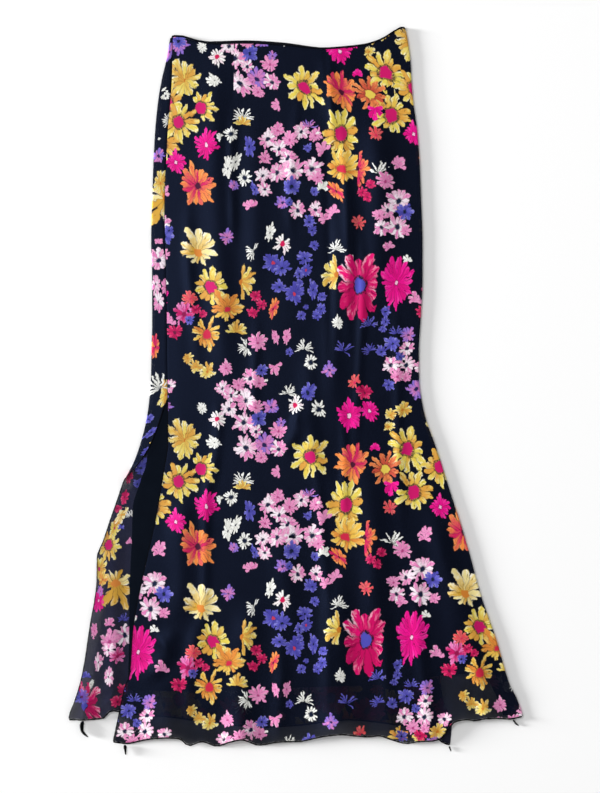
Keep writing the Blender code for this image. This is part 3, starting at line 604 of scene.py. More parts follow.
def flowerInk():
    # One flower: (colour, cover). The angle round it is cut into equal petals. A petal's half width is
    # its own width times the 0.55th power of t times the 0.6th power of 1 - t to the 4th, where t is
    # the share of the way out along it, and chance makes each shorter, narrower, leaning or missing.
    tree = bpy.data.node_groups.new("flowerInk", "ShaderNodeTree")
    for name in ("cloth", "place", "form", "parts", "spread"):
        tree.interface.new_socket(name, in_out="INPUT", socket_type="NodeSocketVector")
    tree.interface.new_socket("colour", in_out="OUTPUT", socket_type="NodeSocketColor")
    tree.interface.new_socket("cover", in_out="OUTPUT", socket_type="NodeSocketFloat")
    add = partial(addNode, tree)
    given = tree.nodes.new("NodeGroupInput").outputs
    rows = [add("SeparateXYZ", given[name], out=None).outputs for name in ("place", "form", "parts", "spread")]
    size = rows[0][2]
    turn, petals, ink = rows[1]
    width, centre, seed = rows[2]
    span, swing, aspect = rows[3]
    wholeTurn = 2 * math.pi

    # the place on the cloth in flower radii, turned upright, with a painter's ragged edge
    offset = add("VectorMath", given["cloth"], given["place"], operation="SUBTRACT")
    offset = add("VectorMath", offset, (1, 1, 0), operation="MULTIPLY")
    local = add("VectorMath", offset, None, None, ("DIVIDE", 1.0, size), operation="SCALE")
    upright = add("VectorRotate", local, None, None, ("MULTIPLY", turn, -1.0), rotation_type="Z_AXIS")
    upright = add("VectorMath", upright, add("CombineXYZ", aspect, 1.0, 1.0), operation="DIVIDE")
    lumpPlace = add("VectorMath", upright, add("CombineXYZ", seed, seed, seed), operation="ADD")
    lumps = add("TexNoise", lumpPlace, None, 3.0, 3.0, 0.62, out=1, noise_dimensions="3D")
    shake = add("VectorMath", lumps, (0.5, 0.5, 0.5), operation="SUBTRACT")
    shake = add("VectorMath", shake, (1, 1, 0), operation="MULTIPLY")
    ragged = ("ADD", ("DIVIDE", brush["lump"], size), brush["lumpShare"])
    shake = add("VectorMath", shake, None, None, ragged, operation="SCALE")
    upright = add("VectorMath", upright, shake, operation="ADD")
    flat = add("SeparateXYZ", upright, out=None).outputs
    angle = add(("ARCTAN2", flat[0], flat[1]))
    radius = add("VectorMath", upright, out=1, operation="LENGTH")

    # which petal, and where across it
    sector = add(("DIVIDE", ("MULTIPLY", angle, petals), wholeTurn))
    petal = add(("ROUND", sector))
    across = add(("SUBTRACT", sector, petal))
    ownPlace = add("CombineXYZ", ("FLOORED_MODULO", petal, petals), seed, 0.0)
    own = add("TexWhiteNoise", ownPlace, out=None, noise_dimensions="3D").outputs
    chance = add("SeparateXYZ", own[1], out=None).outputs
    leans = ("MULTIPLY", ("SUBTRACT", chance[2], 0.5), brush["lean"])
    aside = add(("DIVIDE", ("MULTIPLY", ("ADD", across, leans), wholeTurn), petals))
    sideways = ("ABSOLUTE", ("MULTIPLY", radius, ("SINE", aside)))
    outward = ("MULTIPLY", radius, ("COSINE", aside))

    # its length, less on the far side, and its half width
    far = ("MULTIPLY_ADD", ("COSINE", angle), -0.5, 0.5)
    reach = ("SUBTRACT", 1.0, ("MULTIPLY", far, swing))
    reach = add(("MULTIPLY", reach, ("MULTIPLY_ADD", chance[0], brush["shorten"], 1.0)))
    t = add(("MAXIMUM", ("DIVIDE", outward, reach), 0.0))
    tip = ("MAXIMUM", ("SUBTRACT", 1.0, ("POWER", t, brush["tipPower"])), 0.0)
    tip = ("POWER", tip, brush["tipRound"])
    half = ("MULTIPLY", ("DIVIDE", brush["fullness"] * math.pi, petals), width)
    half = ("MULTIPLY", ("MULTIPLY", half, reach), ("MULTIPLY_ADD", own[0], brush["narrowing"], brush["narrowest"]))
    half = ("MULTIPLY", half, ("MULTIPLY", ("POWER", t, brush["rootPower"]), tip))
    missing = ("MULTIPLY", ("SUBTRACT", brush["widthWithAll"], width), brush["missing"])
    half = add(("MULTIPLY", half, ("GREATER_THAN", own[0], missing)))
    inside = add(("SUBTRACT", half, sideways))
    petalAngle = ("DIVIDE", ("MULTIPLY", petal, wholeTurn), petals)
    inSpan = ("LESS_THAN", ("ABSOLUTE", petalAngle), ("MULTIPLY", span, 0.5))

    # brush strokes run along the petals: dark gaps where the brush was dry, and light ones at the tips and rims
    strokeAcross = ("ADD", ("MULTIPLY", sector, brush["streaksAcross"]), seed)
    strokePlace = add("CombineXYZ", strokeAcross, ("MULTIPLY", radius, brush["streaksAlong"]), seed)
    stroke = add("TexNoise", strokePlace, None, 2.2, 3.0, 0.6, noise_dimensions="3D")
    petalCover = ("MULTIPLY", ("cMULTIPLY", inside, brush["edge"]), inSpan)
    petalCover = ("MULTIPLY", petalCover, rise(stroke, *brush["dry"]))
    strong = ("MULTIPLY", rise(stroke, *brush["strong"]), ("MULTIPLY", rise(t, *brush["tip"]), chance[1]))
    rim = ("cMULTIPLY", ("SUBTRACT", ("MULTIPLY", half, brush["rimWidth"]), inside), brush["rimEdge"])
    rim = ("MULTIPLY", rim, rise(stroke, *brush["rimStroke"]))
    rim = ("MULTIPLY", rim, rise(chance[1], *brush["rimChance"]))
    rim = ("MULTIPLY", rim, ("cMULTIPLY_ADD", t, *brush["rimAlong"]))
    light = ("MULTIPLY", ("MAXIMUM", strong, rim), brush["light"])
    tone = ("MULTIPLY_ADD", t, *brush["toneAlong"])
    tone = ("ADD", ("MULTIPLY", ("SUBTRACT", stroke, 0.5), brush["toneStroke"]), tone)
    tone = ("cADD", ("MULTIPLY", ("SUBTRACT", chance[1], 0.5), brush["toneChance"]), tone)

    # the colours, looked up by the ink's number
    share = add(("MULTIPLY", ink, 1.0 / len(inks)))
    looked = []
    for column in range(4):
        ramp = tree.nodes.new("ShaderNodeValToRGB")
        ramp.color_ramp.interpolation = "CONSTANT"
        stops = ramp.color_ramp.elements
        for number, colours in enumerate(inks.values()):
            last = number == len(inks) - 1
            stop = stops[0] if number == 0 else stops[-1] if last else stops.new(number / len(inks))
            stop.position = number / len(inks)
            stop.color = (*linearColour(colours[column])[:3], colours[4] if column == 3 else 1.0)
        tree.links.new(share, ramp.inputs[0])
        looked.append(ramp.outputs)
    tipInk, baseInk, streakInk, centreInk = looked
    colour = mixInk(tree, tone, baseInk[0], tipInk[0])
    colour = mixInk(tree, light, colour, streakInk[0])

    # petals darken where they meet, and the centre has a broken dark ring
    meets = ("POWER", ("MULTIPLY", ("ABSOLUTE", across), 2.0), brush["meetPower"])
    shade = ("MULTIPLY_ADD", meets, brush["meetShade"], 1.0)
    colour = add("VectorMath", colour, None, None, shade, operation="SCALE")
    fromCentre = add(("DIVIDE", radius, centre))
    ring = ("cMULTIPLY", ("SUBTRACT", brush["ringReach"], fromCentre), brush["centreEdge"])
    ring = ("MULTIPLY", ("MULTIPLY", ring, rise(stroke, *brush["brokenRing"])), centreInk[1])
    colour = mixInk(tree, ring, colour, linearColour(brush["outline"]))
    middle = add(("cMULTIPLY", ("SUBTRACT", 1.0, fromCentre), brush["centreEdge"]))
    colour = mixInk(tree, middle, colour, centreInk[0])
    shown = tree.nodes.new("NodeGroupOutput").inputs
    tree.links.new(colour, shown["colour"])
    tree.links.new(add(("MAXIMUM", petalCover, middle)), shown["cover"])
    return tree


flowerGroup = flowerInk()
georgette = dict(ground="#05080f", groundAlpha=0.62, inkAlpha=0.92, roughness=0.5, gloss=0.34, glossTint="#7890cc",
                 crepeSize=1.1, crepeHeight=0.10, mottleSize=17.0, mottle=(0.6, 0.7))
plainPatches = dict(size=22.0, tone=(0.7, 0.65))


def newMaterial(name):  # (material, tree, shader)
    material = bpy.data.materials.new(name)
    material.use_nodes = True
    return material, material.node_tree, material.node_tree.nodes["Principled BSDF"]


def finishCloth(tree, shader, height, strength, depth, roughness, gloss, tint):  # the weave's bump and the gloss
    bump = addNode(tree, "Bump", out=None)
    tree.links.new(height, bump.inputs["Height"])
    bump.inputs["Strength"].default_value = strength
    bump.inputs["Distance"].default_value = depth * mm
    tree.links.new(bump.outputs[0], shader.inputs["Normal"])
    shader.inputs["Roughness"].default_value = roughness
    shader.inputs["Specular IOR Level"].default_value = gloss
    shader.inputs["Specular Tint"].default_value = linearColour(tint)


def printedGeorgette(name, strength=1.0, groundAlpha=georgette["groundAlpha"], inkAlpha=georgette["inkAlpha"],
                     ground=georgette["ground"]):
    # Sheer crinkled georgette: a blue-black ground with a faint cool gloss on its folds, bright painted
    # daisies over it, and a fine pebbled crepe
    material, tree, shader = newMaterial(name)
    add = partial(addNode, tree)
    cloth = add("UVMap", uv_map="cloth")
    base = add("RGB")
    base.default_value = linearColour(ground)
    mottle = add("TexNoise", cloth, None, noiseScale(georgette["mottleSize"]), 3.0, noise_dimensions="2D")
    tone = ("MULTIPLY_ADD", mottle, *georgette["mottle"])
    colour = add("VectorMath", base, None, None, tone, operation="SCALE")
    cover = None
    for depth in (2, 1, 0):
        flower = tree.nodes.new("ShaderNodeGroup")
        flower.node_tree = flowerGroup
        tree.links.new(cloth, flower.inputs["cloth"])
        for part in ("place", "form", "parts", "spread"):
            tree.links.new(add("Attribute", out=1, attribute_name=f"{part}{depth}"), flower.inputs[part])
        own = flower.outputs["cover"]
        colour = mixInk(tree, ("MULTIPLY", own, strength), colour, flower.outputs["colour"])
        cover = own if cover is None else add(("MAXIMUM", cover, own))
    tree.links.new(colour, shader.inputs["Base Color"])
    alpha = add(("MULTIPLY_ADD", cover, inkAlpha - groundAlpha, groundAlpha))
    tree.links.new(alpha, shader.inputs["Alpha"])
    crepe = add("TexNoise", cloth, None, noiseScale(georgette["crepeSize"]), 2.0, noise_dimensions="2D")
    finishCloth(tree, shader, crepe, 0.35, georgette["crepeHeight"], georgette["roughness"], georgette["gloss"],
                georgette["glossTint"])
    return material


def plainCloth(name, colour, roughness, weaveSize, weaveHeight, gloss, tint):
    # Plain cloth or thread: a woven bump from two crossed waves, and slow patches of lighter tone
    material, tree, shader = newMaterial(name)
    add = partial(addNode, tree)
    place = add("TexCoord", out=3)
    mottle = add("TexNoise", place, None, noiseScale(plainPatches["size"]), 3.0)
    base = add("RGB")
    base.default_value = linearColour(colour)
    tone = ("MULTIPLY_ADD", mottle, *plainPatches["tone"])
    tree.links.new(add("VectorMath", base, None, None, tone, operation="SCALE"), shader.inputs["Base Color"])
    waves = [add("TexWave", place, waveScale(weaveSize), wave_type="BANDS", bands_direction=way, out=1)
             for way in ("X", "Y")]
    finishCloth(tree, shader, add(("MULTIPLY", *waves)), 0.4, weaveHeight, roughness, gloss, tint)
    return material


# The side that faces out has the print in full colour, and the wrong side shows it through
rightSide = printedGeorgette("georgettePrintedSide")
wrongSide = printedGeorgette("georgetteWrongSide", strength=0.85, groundAlpha=0.75, inkAlpha=0.90, ground="#120d22")
# A smooth lining, near-black in the slit; a faintly ribbed dark edge; spun thread with a slight gloss
liningCloth = plainCloth("navyLiningTaffeta", "#060910", 0.5, 0.35, 0.03, 0.08, "#7f96c0")
bindingCloth = plainCloth("waistBindingTwill", "#08090e", 0.6, 0.6, 0.05, 0.15, "#8f98b0")
overlockThread = plainCloth("blackOverlockThread", "#040405", 0.6, 0.25, 0.03, 0.10, "#a0a4b4")
print("materials made")

# the front of the shell
frontGrid = dict(rows=250, columns=100, turnColumns=8, underColumns=6, foldShare=1.2, creaseShare=1.7,
                 sideSlope=(42, 2), heldShare=0.06, liftFrom=70, onLining=(40, 8), onBack=(45, 6, 48, 8),
                 dartDepth=0.45, dartWidth=1.8, dartRidge=(5, 4))
# Flowers of the front that are not in the repeat's chart: ink, form, x, drop, radius, turn
frontStrays = [
    ("violet", "bloom", -176, 22, 13, 0), ("goldRed", "arc", 160, 1066, 23, 0),
    ("goldPlain", "half", 192, 1072, 22, 0), ("rose", "small", 186, 1062, 11, 0),
    ("goldPlain", "small", 212, 1056, 15, 0), ("rose", "tall", 229, 1060, 17, -10),
    ("hotPink", "shaggy", 84, 37, 22, 10), ("white", "tall", -243, 886, 9, 0), ("violet", "small", -190, 306, 9, 0),
]


def frontSupport(x, drop):  # the height of what lies under the front: the lining, then the back, then the floor
    hem = liningHemEdge(x)
    overLining = ease(drop, hem + frontGrid["onLining"][0], hem + frontGrid["onLining"][1])
    sideFrom, sideTo, hemFrom, hemTo = frontGrid["onBack"]
    overBack = ease(x, backRightX(drop) + sideFrom, backRightX(drop) + sideTo)
    overBack = overBack * ease(drop, backHemEdge(x) + hemFrom, backHemEdge(x) + hemTo)
    return overLining * (level["front"] - 0.5) + (1 - overLining) * 3.0 * overBack


def makeFront():
    # A sheet at the height of what it lies on plus its folds, then half a circle down at the right side,
    # radius times the sine out and 1 + the cosine up, and a flat strip turned under
    shares = np.linspace(0, 1, frontGrid["rows"] + 1)[:, None]
    across = np.linspace(0, 1, frontGrid["columns"] + 1)[None, :]
    sideAt = lambda drop: frontLeft(drop) + across * (frontTurnX(drop) - frontLeft(drop))
    x, drop = rowsBetween(shares, clothTop, clothEnd(frontHemEdge), sideAt)
    z = frontSupport(x, drop) + 0.5
    nearSide = ease(frontTurnX(drop) - x, *frontGrid["sideSlope"])
    z = z + (level["back"] + 2 * turnRadius(drop) - z) * nearSide
    loose = (1 - nearSide) * ease(across, 0, frontGrid["heldShare"])
    folds = foldHeight(frontFolds, x, drop) * frontGrid["foldShare"]
    z = z + (folds + foldHeight(frontCreases, x, drop) * frontGrid["creaseShare"]) * loose
    z = z + (clothRipple(x, drop) + 0.2) * loose * ease(drop, 40, 120)
    z = z + frontHemLift(x) * ease(drop, frontHemEdge(x) - frontGrid["liftFrom"], frontHemEdge(x)) * loose
    dartColumns = []
    for dartX, dartEnd in zip(darts["x"], darts["ends"]):
        column = int(np.argmin(np.abs(x[8] - dartX)))
        dartColumns.append(column)
        beside = x - x[:, column : column + 1]
        depth = frontGrid["dartDepth"] * ease(drop, dartEnd + 12, dartEnd - 30)
        ridgeX, ridgeWidth = frontGrid["dartRidge"]
        z = z - depth * np.exp(-((beside / frontGrid["dartWidth"]) ** 2))
        z = z + 0.5 * depth * np.exp(-(((beside - ridgeX) / ridgeWidth) ** 2))
    sideDrop = drop[:, -1:]
    radius = turnRadius(sideDrop)
    angle = math.pi * np.linspace(0, 1, frontGrid["turnColumns"] + 1)[None, 1:]
    arcX = frontTurnX(sideDrop) + radius * np.sin(angle)
    arcZ = level["back"] + radius * (1 + np.cos(angle))
    under = np.linspace(0, 1, frontGrid["underColumns"] + 1)[None, 1:]
    reach = turnedUnder(sideDrop) - laid["wall"] / 2 - radius
    underX = frontTurnX(sideDrop) - under * reach
    allX = np.concatenate([x, arcX, underX], axis=1)
    allDrop = np.concatenate([drop, sideDrop + 0 * arcX, sideDrop + 0 * underX], axis=1)
    allZ = np.concatenate([z, arcZ, level["back"] + 0 * underX], axis=1)
    side = frontTurnX(sideDrop)
    u = np.concatenate([x, side + radius * angle, side + math.pi * radius + under * reach], axis=1)
    points = inMetres(allX, allDrop, allZ)
    piece = gridMesh("frontShellCloth", points)
    rowDrop = allDrop[:, :1]
    jumps = [take * ease(rowDrop, end, end / 2) for take, end in zip(darts["takes"], darts["ends"])]
    centres = clothMap(piece, u, -allDrop, dartColumns, jumps)
    strays = [bloomRow(*row, seed=1.7 * number) for number, row in enumerate(frontStrays)]
    layPrint(piece, centres, repeatedPrint(range(-2, 3), range(-1, 2)) + strays)
    piece.data.materials.append(rightSide)
    piece.data.materials.append(wrongSide)
    giveThickness(piece, laid["clothThickness"], innerSlot=1)
    return piece, points / mm


frontCloth, frontPoints = makeFront()
print("front made", len(frontCloth.data.polygons))

# the back of the shell, which wraps over the left side
backGrid = dict(rows=250, columns=84, turnColumns=10, flapColumns=12, openSide=(-6, -22), liftFrom=70,
                seamDip=0.3, seamWidth=1.6, seamFades=(600, 540), hiddenCutFrom=60)
# What shows of the back from above, charted where it lies: ink, form, x, drop, radius, turn
backStrip = [
    ("lilac", "tall", -189, 38, 18, 0), ("white", "sprig", -197, 96, 7, 0), ("white", "small", -195, 104, 8, 0),
    ("white", "fan", -191, 140, 12, 80), ("white", "small", -205, 168, 2.5, 0), ("lilac", "bloom", -206, 194, 12, 0),
    ("goldWhite", "fanDaisy", -194, 256, 46, 180), ("goldPlain", "tall", -203, 234, 22, 0),
    ("pink", "sprig", -206, 324, 9, 0), ("pinkWhite", "bloom", -206, 350, 18, 0),
    ("pinkWhite", "tall", -210, 386, 17, 0), ("pink", "tall", -195, 390, 15, 0),
    ("pinkWhite", "tall", -206, 413, 18, 0), ("flame", "tall", -211, 480, 19, 0),
    ("white", "fan", -203, 542, 25, 20), ("goldPlain", "tall", -195, 551, 25, 0),
    ("violet", "small", -221, 588, 9, 0), ("violet", "tall", -217, 608, 14, -40),
    ("violet", "small", -222, 636, 10, 0), ("goldRed", "sprig", -216, 624, 5, 0),
]
backCorner = [
    ("violet", "small", -233, 661, 16, 0), ("violet", "small", -238, 685, 9, 0), ("white", "sprig", -243, 660, 5, 0),
    ("rose", "tall", -250, 674, 12, -20), ("rose", "tall", -257, 705, 13, -15), ("rose", "small", -268, 722, 8, 0),
    ("goldWhite", "tall", -262, 732, 17, -28), ("gold", "tall", -272, 751, 19, -20),
    ("gold", "oval", -281, 777, 24, -12), ("white", "fan", -248, 733, 10, 0), ("violet", "sprig", -262, 752, 8, 0),
    ("pink", "sprig", -250, 774, 8, 0), ("gold", "tall", -295, 812, 23, -12), ("goldRed", "tall", -290, 828, 15, 0),
    ("goldWhite", "fanDaisy", -271, 834, 42, 180), ("hotPink", "tall", -296, 860, 19, 0),
    ("lilac", "tall", -293, 846, 10, 0), ("violet", "fan", -259, 889, 11, 0), ("pink", "sprig", -280, 896, 11, 0),
    ("pink", "tall", -302, 905, 13, 0), ("pinkWhite", "bloom", -257, 912, 19, 0),
    ("pink", "bloom", -279, 921, 18, 0), ("pinkWhite", "small", -281, 934, 12, 0),
    ("pinkDeep", "small", -268, 943, 14, 0), ("pinkWhite", "tall", -296, 952, 16, -10),
    ("pinkWhite", "tall", -281, 974, 17, 0), ("violet", "sprig", -314, 974, 9, 0),
    ("white", "tall", -307, 985, 8, -15), ("rose", "small", -258, 994, 12, 0), ("rose", "small", -268, 1011, 12, 0),
    ("violet", "small", -250, 998, 7, 0), ("violet", "small", -321, 1004, 14, 0),
    ("magenta", "arc", -317, 1017, 29, -72),
]
# The magenta daisies of the hidden back that show dimly through the sheer front above the hem
backGlow = [
    ("magenta", "bloom", 52, 1006, 38, 0), ("rose", "bloom", -92, 1028, 27, 0), ("rose", "bloom", 106, 1026, 24, 0),
]


def makeBack():
    # A flat sheet, a bend of a fixed arc length at its left side, whose angle falls from half a turn to 0
    # below the slit's top, and a flat strip that goes on from the bend's end at that angle
    shares = np.linspace(0, 1, backGrid["rows"] + 1)[:, None]
    across = np.linspace(0, 1, backGrid["columns"] + 1)[None, :]
    sideAt = lambda drop: backTurnX(drop) + across * (backRightX(drop) - backTurnX(drop))
    x, drop = rowsBetween(shares, backClothTop, clothEnd(backHemEdge), sideAt)
    openFrom, openTo = backGrid["openSide"]
    leftOnly = ease(x, liningLeft(drop) + openFrom, liningLeft(drop) + openTo)
    z = level["back"] + foldHeight(backFolds, x, drop) * leftOnly + foldHeight(backCreases, x, drop) * leftOnly
    z = z + backHemLift(x) * ease(drop, backHemEdge(x) - backGrid["liftFrom"], backHemEdge(x)) * leftOnly
    sideDrop, sideZ = drop[:, :1], z[:, :1]
    angle = leftAngle(sideDrop)
    turned = np.linspace(1, 0, backGrid["turnColumns"] + 1)[None, :-1]
    arc = turnArc(angle * turned, angle, turned)
    edge = turnArc(angle)
    out = np.linspace(1, 0, backGrid["flapColumns"] + 1)[None, :-1] * flapWidth(sideDrop)
    start = backTurnX(sideDrop)
    flapX, flapZ = start - edge[0] - out * np.cos(angle), sideZ + edge[1] + out * np.sin(angle)
    dip = np.exp(-(((flapWidth(sideDrop) - out) / backGrid["seamWidth"]) ** 2)) * ease(sideDrop, *backGrid["seamFades"])
    flapZ = flapZ - backGrid["seamDip"] * dip
    allX = np.concatenate([flapX, start - arc[0], x], axis=1)
    allDrop = np.concatenate([sideDrop + 0 * flapX, sideDrop + 0 * arc[0], drop], axis=1)
    allZ = np.concatenate([flapZ, sideZ + arc[1], z], axis=1)
    turnLength = math.pi * sideRadius
    u = np.concatenate([start - turnLength - out, start - turnLength * turned + 0 * start, x], axis=1)
    points = inMetres(allX, allDrop, allZ)
    piece = gridMesh("backShellCloth", points)
    centres = clothMap(piece, u, -allDrop)
    blooms = []
    for ink, form, bloomX, bloomDrop, radius, turn in backStrip:
        bloomU = float(backTurnX(bloomDrop) - turnLength - (bloomX - backTurnX(bloomDrop)))
        blooms.append(bloomRow(ink, form, bloomU, bloomDrop, radius, -turn, len(blooms) * 1.3))
    for ink, form, bloomX, bloomDrop, radius, turn in backCorner + backGlow:
        blooms.append(bloomRow(ink, form, bloomX, bloomDrop, radius, turn, len(blooms) * 1.3))
    for bloom in repeatedPrint(range(-2, 3), range(-1, 2)):  # the hidden side is cut upside down
        (bloomU, bloomV, size), (turn, petals, ink), parts, spread = bloom
        bloomV = -(laid["length"] + backGrid["hiddenCutFrom"]) * mm - bloomV
        if bloomU > float(liningLeft(-bloomV / mm)) * mm + size:
            blooms.append(((bloomU, bloomV, size), (turn + math.pi, petals, ink), parts, spread))
    layPrint(piece, centres, blooms)
    piece.data.materials.append(wrongSide)
    piece.data.materials.append(rightSide)
    giveThickness(piece, laid["clothThickness"], innerSlot=1)
    return piece, points / mm


backCloth, backPoints = makeBack()
print("back made", len(backCloth.data.polygons))

# the lining: two plain panels in a tube, the back one a little shorter
liningGrid = dict(rows=120, columns=60, seam=(25.0, 60.0), insideSide=6.0, rippleHeight=0.12, backShorter=4)


def makeLining(name, height, shellLeft, shellRight, shellTop, shorter):
    # A level sheet with a faint sine ripple, whose sides go from the shell's at the waist to its own below
    shares = np.linspace(0, 1, liningGrid["rows"] + 1)[:, None]
    across = np.linspace(0, 1, liningGrid["columns"] + 1)[None, :]

    def sideAt(drop):
        seam = ease(drop, *liningGrid["seam"][::-1])
        left = seam * shellLeft(drop) + (1 - seam) * liningLeft(drop)
        right = seam * shellRight(drop) + (1 - seam) * (outlineRight(drop) - liningGrid["insideSide"])
        return left + across * (right - left)

    x, drop = rowsBetween(shares, shellTop, lambda at: liningHemEdge(at) - shorter, sideAt)
    ripple = liningGrid["rippleHeight"] * np.sin(0.07 * x + 0.02 * drop) * ease(drop, 60, 140)
    points = inMetres(x, drop, height + ripple)
    piece = gridMesh(name, points)
    piece.data.materials.append(liningCloth)
    giveThickness(piece, laid["liningThickness"])
    return piece, points / mm


frontLining, frontLiningPoints = makeLining(
    "frontLiningCloth", level["frontLining"], frontLeft, frontTurnX, clothTop, shorter=0)
backLining, _ = makeLining(
    "backLiningCloth", level["backLining"], backTurnX, backRightX, backClothTop, liningGrid["backShorter"])
print("lining made")

# edges: waist binding, overlocked hems and slit edges, hem tails, stitches


def makeBinding(name, points, columns, middleZ, height, top, endRound=0.0):
    # A soft band over the top edge of its cloth: an oblong with round corners, whose two half widths are
    # the 0.6th powers of a turn's cosine and sine, carried along the waist and down round both its ends
    ends = points[0, columns, 0][[0, -1]]
    x = np.linspace(ends[0] - endRound, ends[1] + endRound, 280)
    past = np.maximum(np.maximum(ends[0] - x, x - ends[1]), 0) / max(endRound, 0.1)
    turn = np.linspace(0, 2 * math.pi, 16, endpoint=False)[None, :]
    soft = lambda wave: np.sign(wave) * np.abs(wave) ** 0.6
    drop = (top(np.clip(x, *ends)) + 3.2 * (1 - np.sqrt(1 - 0.98 * past**2)))[:, None]
    drop = drop + waist["height"] / 2 * (1 + soft(np.cos(turn)))
    pucker = 1 - 0.05 * (1 + np.sin(x * 1.3))[:, None]
    z = middleZ + height / 2 * soft(np.sin(turn)) * pucker
    piece = gridMesh(name, inMetres(x[:, None] + 0 * drop, drop, z), aroundClosed=True)
    piece.data.materials.append(bindingCloth)
    return piece


frontColumns = slice(0, frontGrid["columns"] + 1)
backColumns = slice(-backGrid["columns"] - 1, None)
bindingThickness = 2 * laid["wall"] + laid["gap"]
frontBindingMiddle = level["front"] + 0.5 - bindingThickness / 2
frontBinding = makeBinding("frontWaistBinding", frontPoints, frontColumns, frontBindingMiddle, bindingThickness,
                           waistEdge, endRound=2.4)
backBinding = makeBinding("backWaistBinding", backPoints, backColumns, bindingThickness / 2, bindingThickness,
                          lambda x: waistEdge(x) - backAbove(x))


def makeRoll(name, path, radius=hemRoll["radius"]):
    piece = threadRoll(name, path, radius, hemRoll["wrapPitch"], hemRoll["wrapDepth"], wander=hemRoll["wander"])
    piece.data.materials.append(overlockThread)
    return piece


def besideHem(path):
    # The roll's middle: the cloth's last row moved sideways, at right angles to its run, by almost the
    # roll's radius, and no lower than lets the roll rest on the floor
    run = np.gradient(path, axis=0)
    run = run / np.linalg.norm(run[:, :2], axis=1, keepdims=True)
    moved = path.copy()
    moved[:, 0] += run[:, 1] * (hemRoll["radius"] - 0.1)
    moved[:, 1] -= run[:, 0] * (hemRoll["radius"] - 0.1)
    moved[:, 2] = np.maximum(moved[:, 2] - 0.5 + hemRoll["radius"], hemRoll["radius"])
    return moved


hemFront = makeRoll("frontHemOverlock", besideHem(frontPoints[-1, frontColumns]))
hemBack = makeRoll("backHemOverlock", besideHem(backPoints[-1]))


slitEdges = dict(radius=0.8)


def slitPath(points, column, start):  # the free edge of a panel below the slit's top
    path = points[:, column].copy()
    path[:, 2] = np.maximum(path[:, 2], slitEdges["radius"])
    return path[laid["length"] / 2 - path[:, 1] > start]


slitRolls = [
    makeRoll("frontSlitEdgeLeft", slitPath(frontPoints, 0, slits["top"]), slitEdges["radius"]),
    makeRoll("backSlitEdgeLeft", slitPath(backPoints, 0, slits["top"]), slitEdges["radius"]),
]

tails = dict(  # each one's piece, and x, drop and radius down it
    hem_tail_back_left=("backLeftHemTail", [
        (-319, 1040.1, 3.4), (-321, 1047, 3.6), (-320.5, 1054, 3.0), (-316.5, 1060, 2.2), (-311.5, 1064, 1.0)]),
    hem_tail_front_left=("frontLeftHemTail", [
        (-256.5, 1075.8, 3.4), (-256, 1080, 2.8), (-255.5, 1086, 1.8), (-255, 1091, 1.0)]),
    hem_tail_back_right=("backRightHemTail", [(229.6, 1078.1, 1.5), (231, 1082, 1.3), (232.5, 1086, 0.8)]),
    hem_tail_front_right=("frontRightHemTail", [(325.6, 1038.7, 1.5), (329.2, 1043.8, 1.5), (334, 1047.5, 0.9)]),
)
tailSteps = 40
tailPieces = {}
for node, (name, rows) in tails.items():
    share = np.linspace(0, len(rows) - 1, tailSteps)
    x, drop, radius = (smoothTable(np.arange(len(rows)), column)(share) for column in zip(*rows))
    path = np.stack([x, laid["length"] / 2 - drop, np.full(tailSteps, max(row[2] for row in rows))], axis=1)
    tail = threadRoll(name, path, radius, 1.5, 0.2, sides=10, samples=5)
    tail.data.materials.append(overlockThread)
    tailPieces[node] = tail

stitching = dict(waistPitch=2.6, waistLength=1.7, hemPitch=3.2, hemLength=2.2, radius=0.16, fromX=-184, toX=165,
                 belowEdge=3.1, height=4.86)
stitchX = np.linspace(stitching["fromX"], stitching["toX"], 400)
waistRow = inMetres(stitchX, waistEdge(stitchX) + stitching["belowEdge"], stitching["height"]) / mm
waistStitch = stitchRow("waistStitching", waistRow, stitching["waistPitch"], stitching["waistLength"],
                        stitching["radius"])
waistStitch.data.materials.append(overlockThread)
liningRow = frontLiningPoints[-3].copy()
liningRow[:, 2] += 0.2
liningStitch = stitchRow("liningHemStitching", liningRow, stitching["hemPitch"], stitching["hemLength"],
                         stitching["radius"])
liningStitch.data.materials.append(overlockThread)
print("edges made")

# the frame: what each piece rides on and stands for
for piece in (frontCloth, backCloth, frontLining, backLining, frontBinding, backBinding, hemFront, hemBack,
              waistStitch, liningStitch, *slitRolls, *tailPieces.values()):
    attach(piece, "root")
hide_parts("front_shell")
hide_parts("back_shell")
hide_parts("front_lining")
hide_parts("back_lining")
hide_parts("waist_binding_front")
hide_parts("waist_binding_back")
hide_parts("hem_roll_front")
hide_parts("hem_roll_back")
for node, tail in tailPieces.items():
    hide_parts(node)

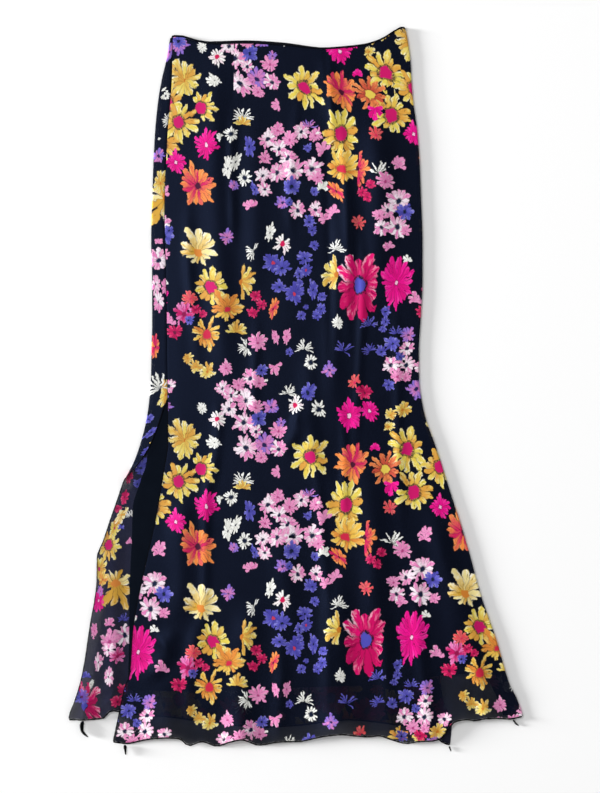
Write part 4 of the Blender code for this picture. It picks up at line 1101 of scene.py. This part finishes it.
# floor, light and camera
studio = dict(floor="#f9f9f9", cameraHeight=3.0, lens=90.8, centre=(0.006, -0.008))
light = dict(  # a low raking light from the left, two softboxes above, and walls brighter than the ceiling
    rakePower=7.4, rakeElevation=9.0, rakeFrom=172.0, rakeSoftness=12.0,
    boxPower=26.0, boxSize=0.7, boxPlace=(-1.4, 0.7, 2.6), glossPower=36.0, glossSize=0.5, glossPlace=(-1.15, 0.1, 2.3),
    wall=0.64, ceiling=0.05, ceilingFrom=0.72, ceilingFull=0.97,
)
floorMesh = gridMesh("floor", np.array([[(-3, 3, 0), (3, 3, 0)], [(-3, -3, 0), (3, -3, 0)]], float) - [0, 0, 0.0004])
floorPaper, _, floorShader = newMaterial("paleBackdropPaper")  # a plain matt pale floor
floorShader.inputs["Base Color"].default_value = linearColour(studio["floor"])
floorShader.inputs["Roughness"].default_value = 0.9
floorShader.inputs["Specular IOR Level"].default_value = 0.1
floorMesh.data.materials.append(floorPaper)

world = bpy.data.worlds.new("studio")
bpy.context.scene.world = world
world.use_nodes = True
room = world.node_tree
upward = addNode(room, "SeparateXYZ", addNode(room, "TexCoord"), out=2)
overhead = addNode(room, "MapRange", upward, light["ceilingFrom"], light["ceilingFull"], light["wall"],
                   light["ceiling"])
room.links.new(overhead, room.nodes["Background"].inputs["Strength"])
room.nodes["Background"].inputs["Color"].default_value = (1, 1, 1, 1)


def addLight(name, kind, place, power):  # a light at a place that looks at the origin
    data = bpy.data.lights.new(name, kind)
    data.energy = power
    lamp = bpy.data.objects.new(name, data)
    bpy.context.scene.collection.objects.link(lamp)
    lamp.location = place
    aim = -np.array(place) / np.linalg.norm(place)
    lamp.rotation_euler = (math.acos(-aim[2]), 0, math.atan2(aim[0], -aim[1]) + math.pi)
    return lamp


rakeTurn, rakeRise = math.radians(light["rakeFrom"]), math.radians(light["rakeElevation"])
rakeReach = math.cos(rakeRise)
rakePlace = 3 * np.array([math.cos(rakeTurn) * rakeReach, math.sin(rakeTurn) * rakeReach, math.sin(rakeRise)])
rake = addLight("rake", "SUN", rakePlace, light["rakePower"])
rake.data.angle = math.radians(light["rakeSoftness"])
rake.visible_glossy = False  # it shades the folds without a glare along the cloth
addLight("softbox", "AREA", light["boxPlace"], light["boxPower"]).data.size = light["boxSize"]
glossBox = addLight("strip", "AREA", light["glossPlace"], light["glossPower"])
glossBox.data.size = light["glossSize"]
glossBox.visible_diffuse = False  # it gives the folds their cool gloss alone

cameraData = bpy.data.cameras.new("camera")
cameraData.lens = studio["lens"]
cameraData.sensor_width = 36
camera = bpy.data.objects.new("camera", cameraData)
camera.location = (*studio["centre"], studio["cameraHeight"])
bpy.context.scene.collection.objects.link(camera)
bpy.context.scene.camera = camera
bpy.context.scene.view_settings.view_transform = "Standard"

print("stage ready")
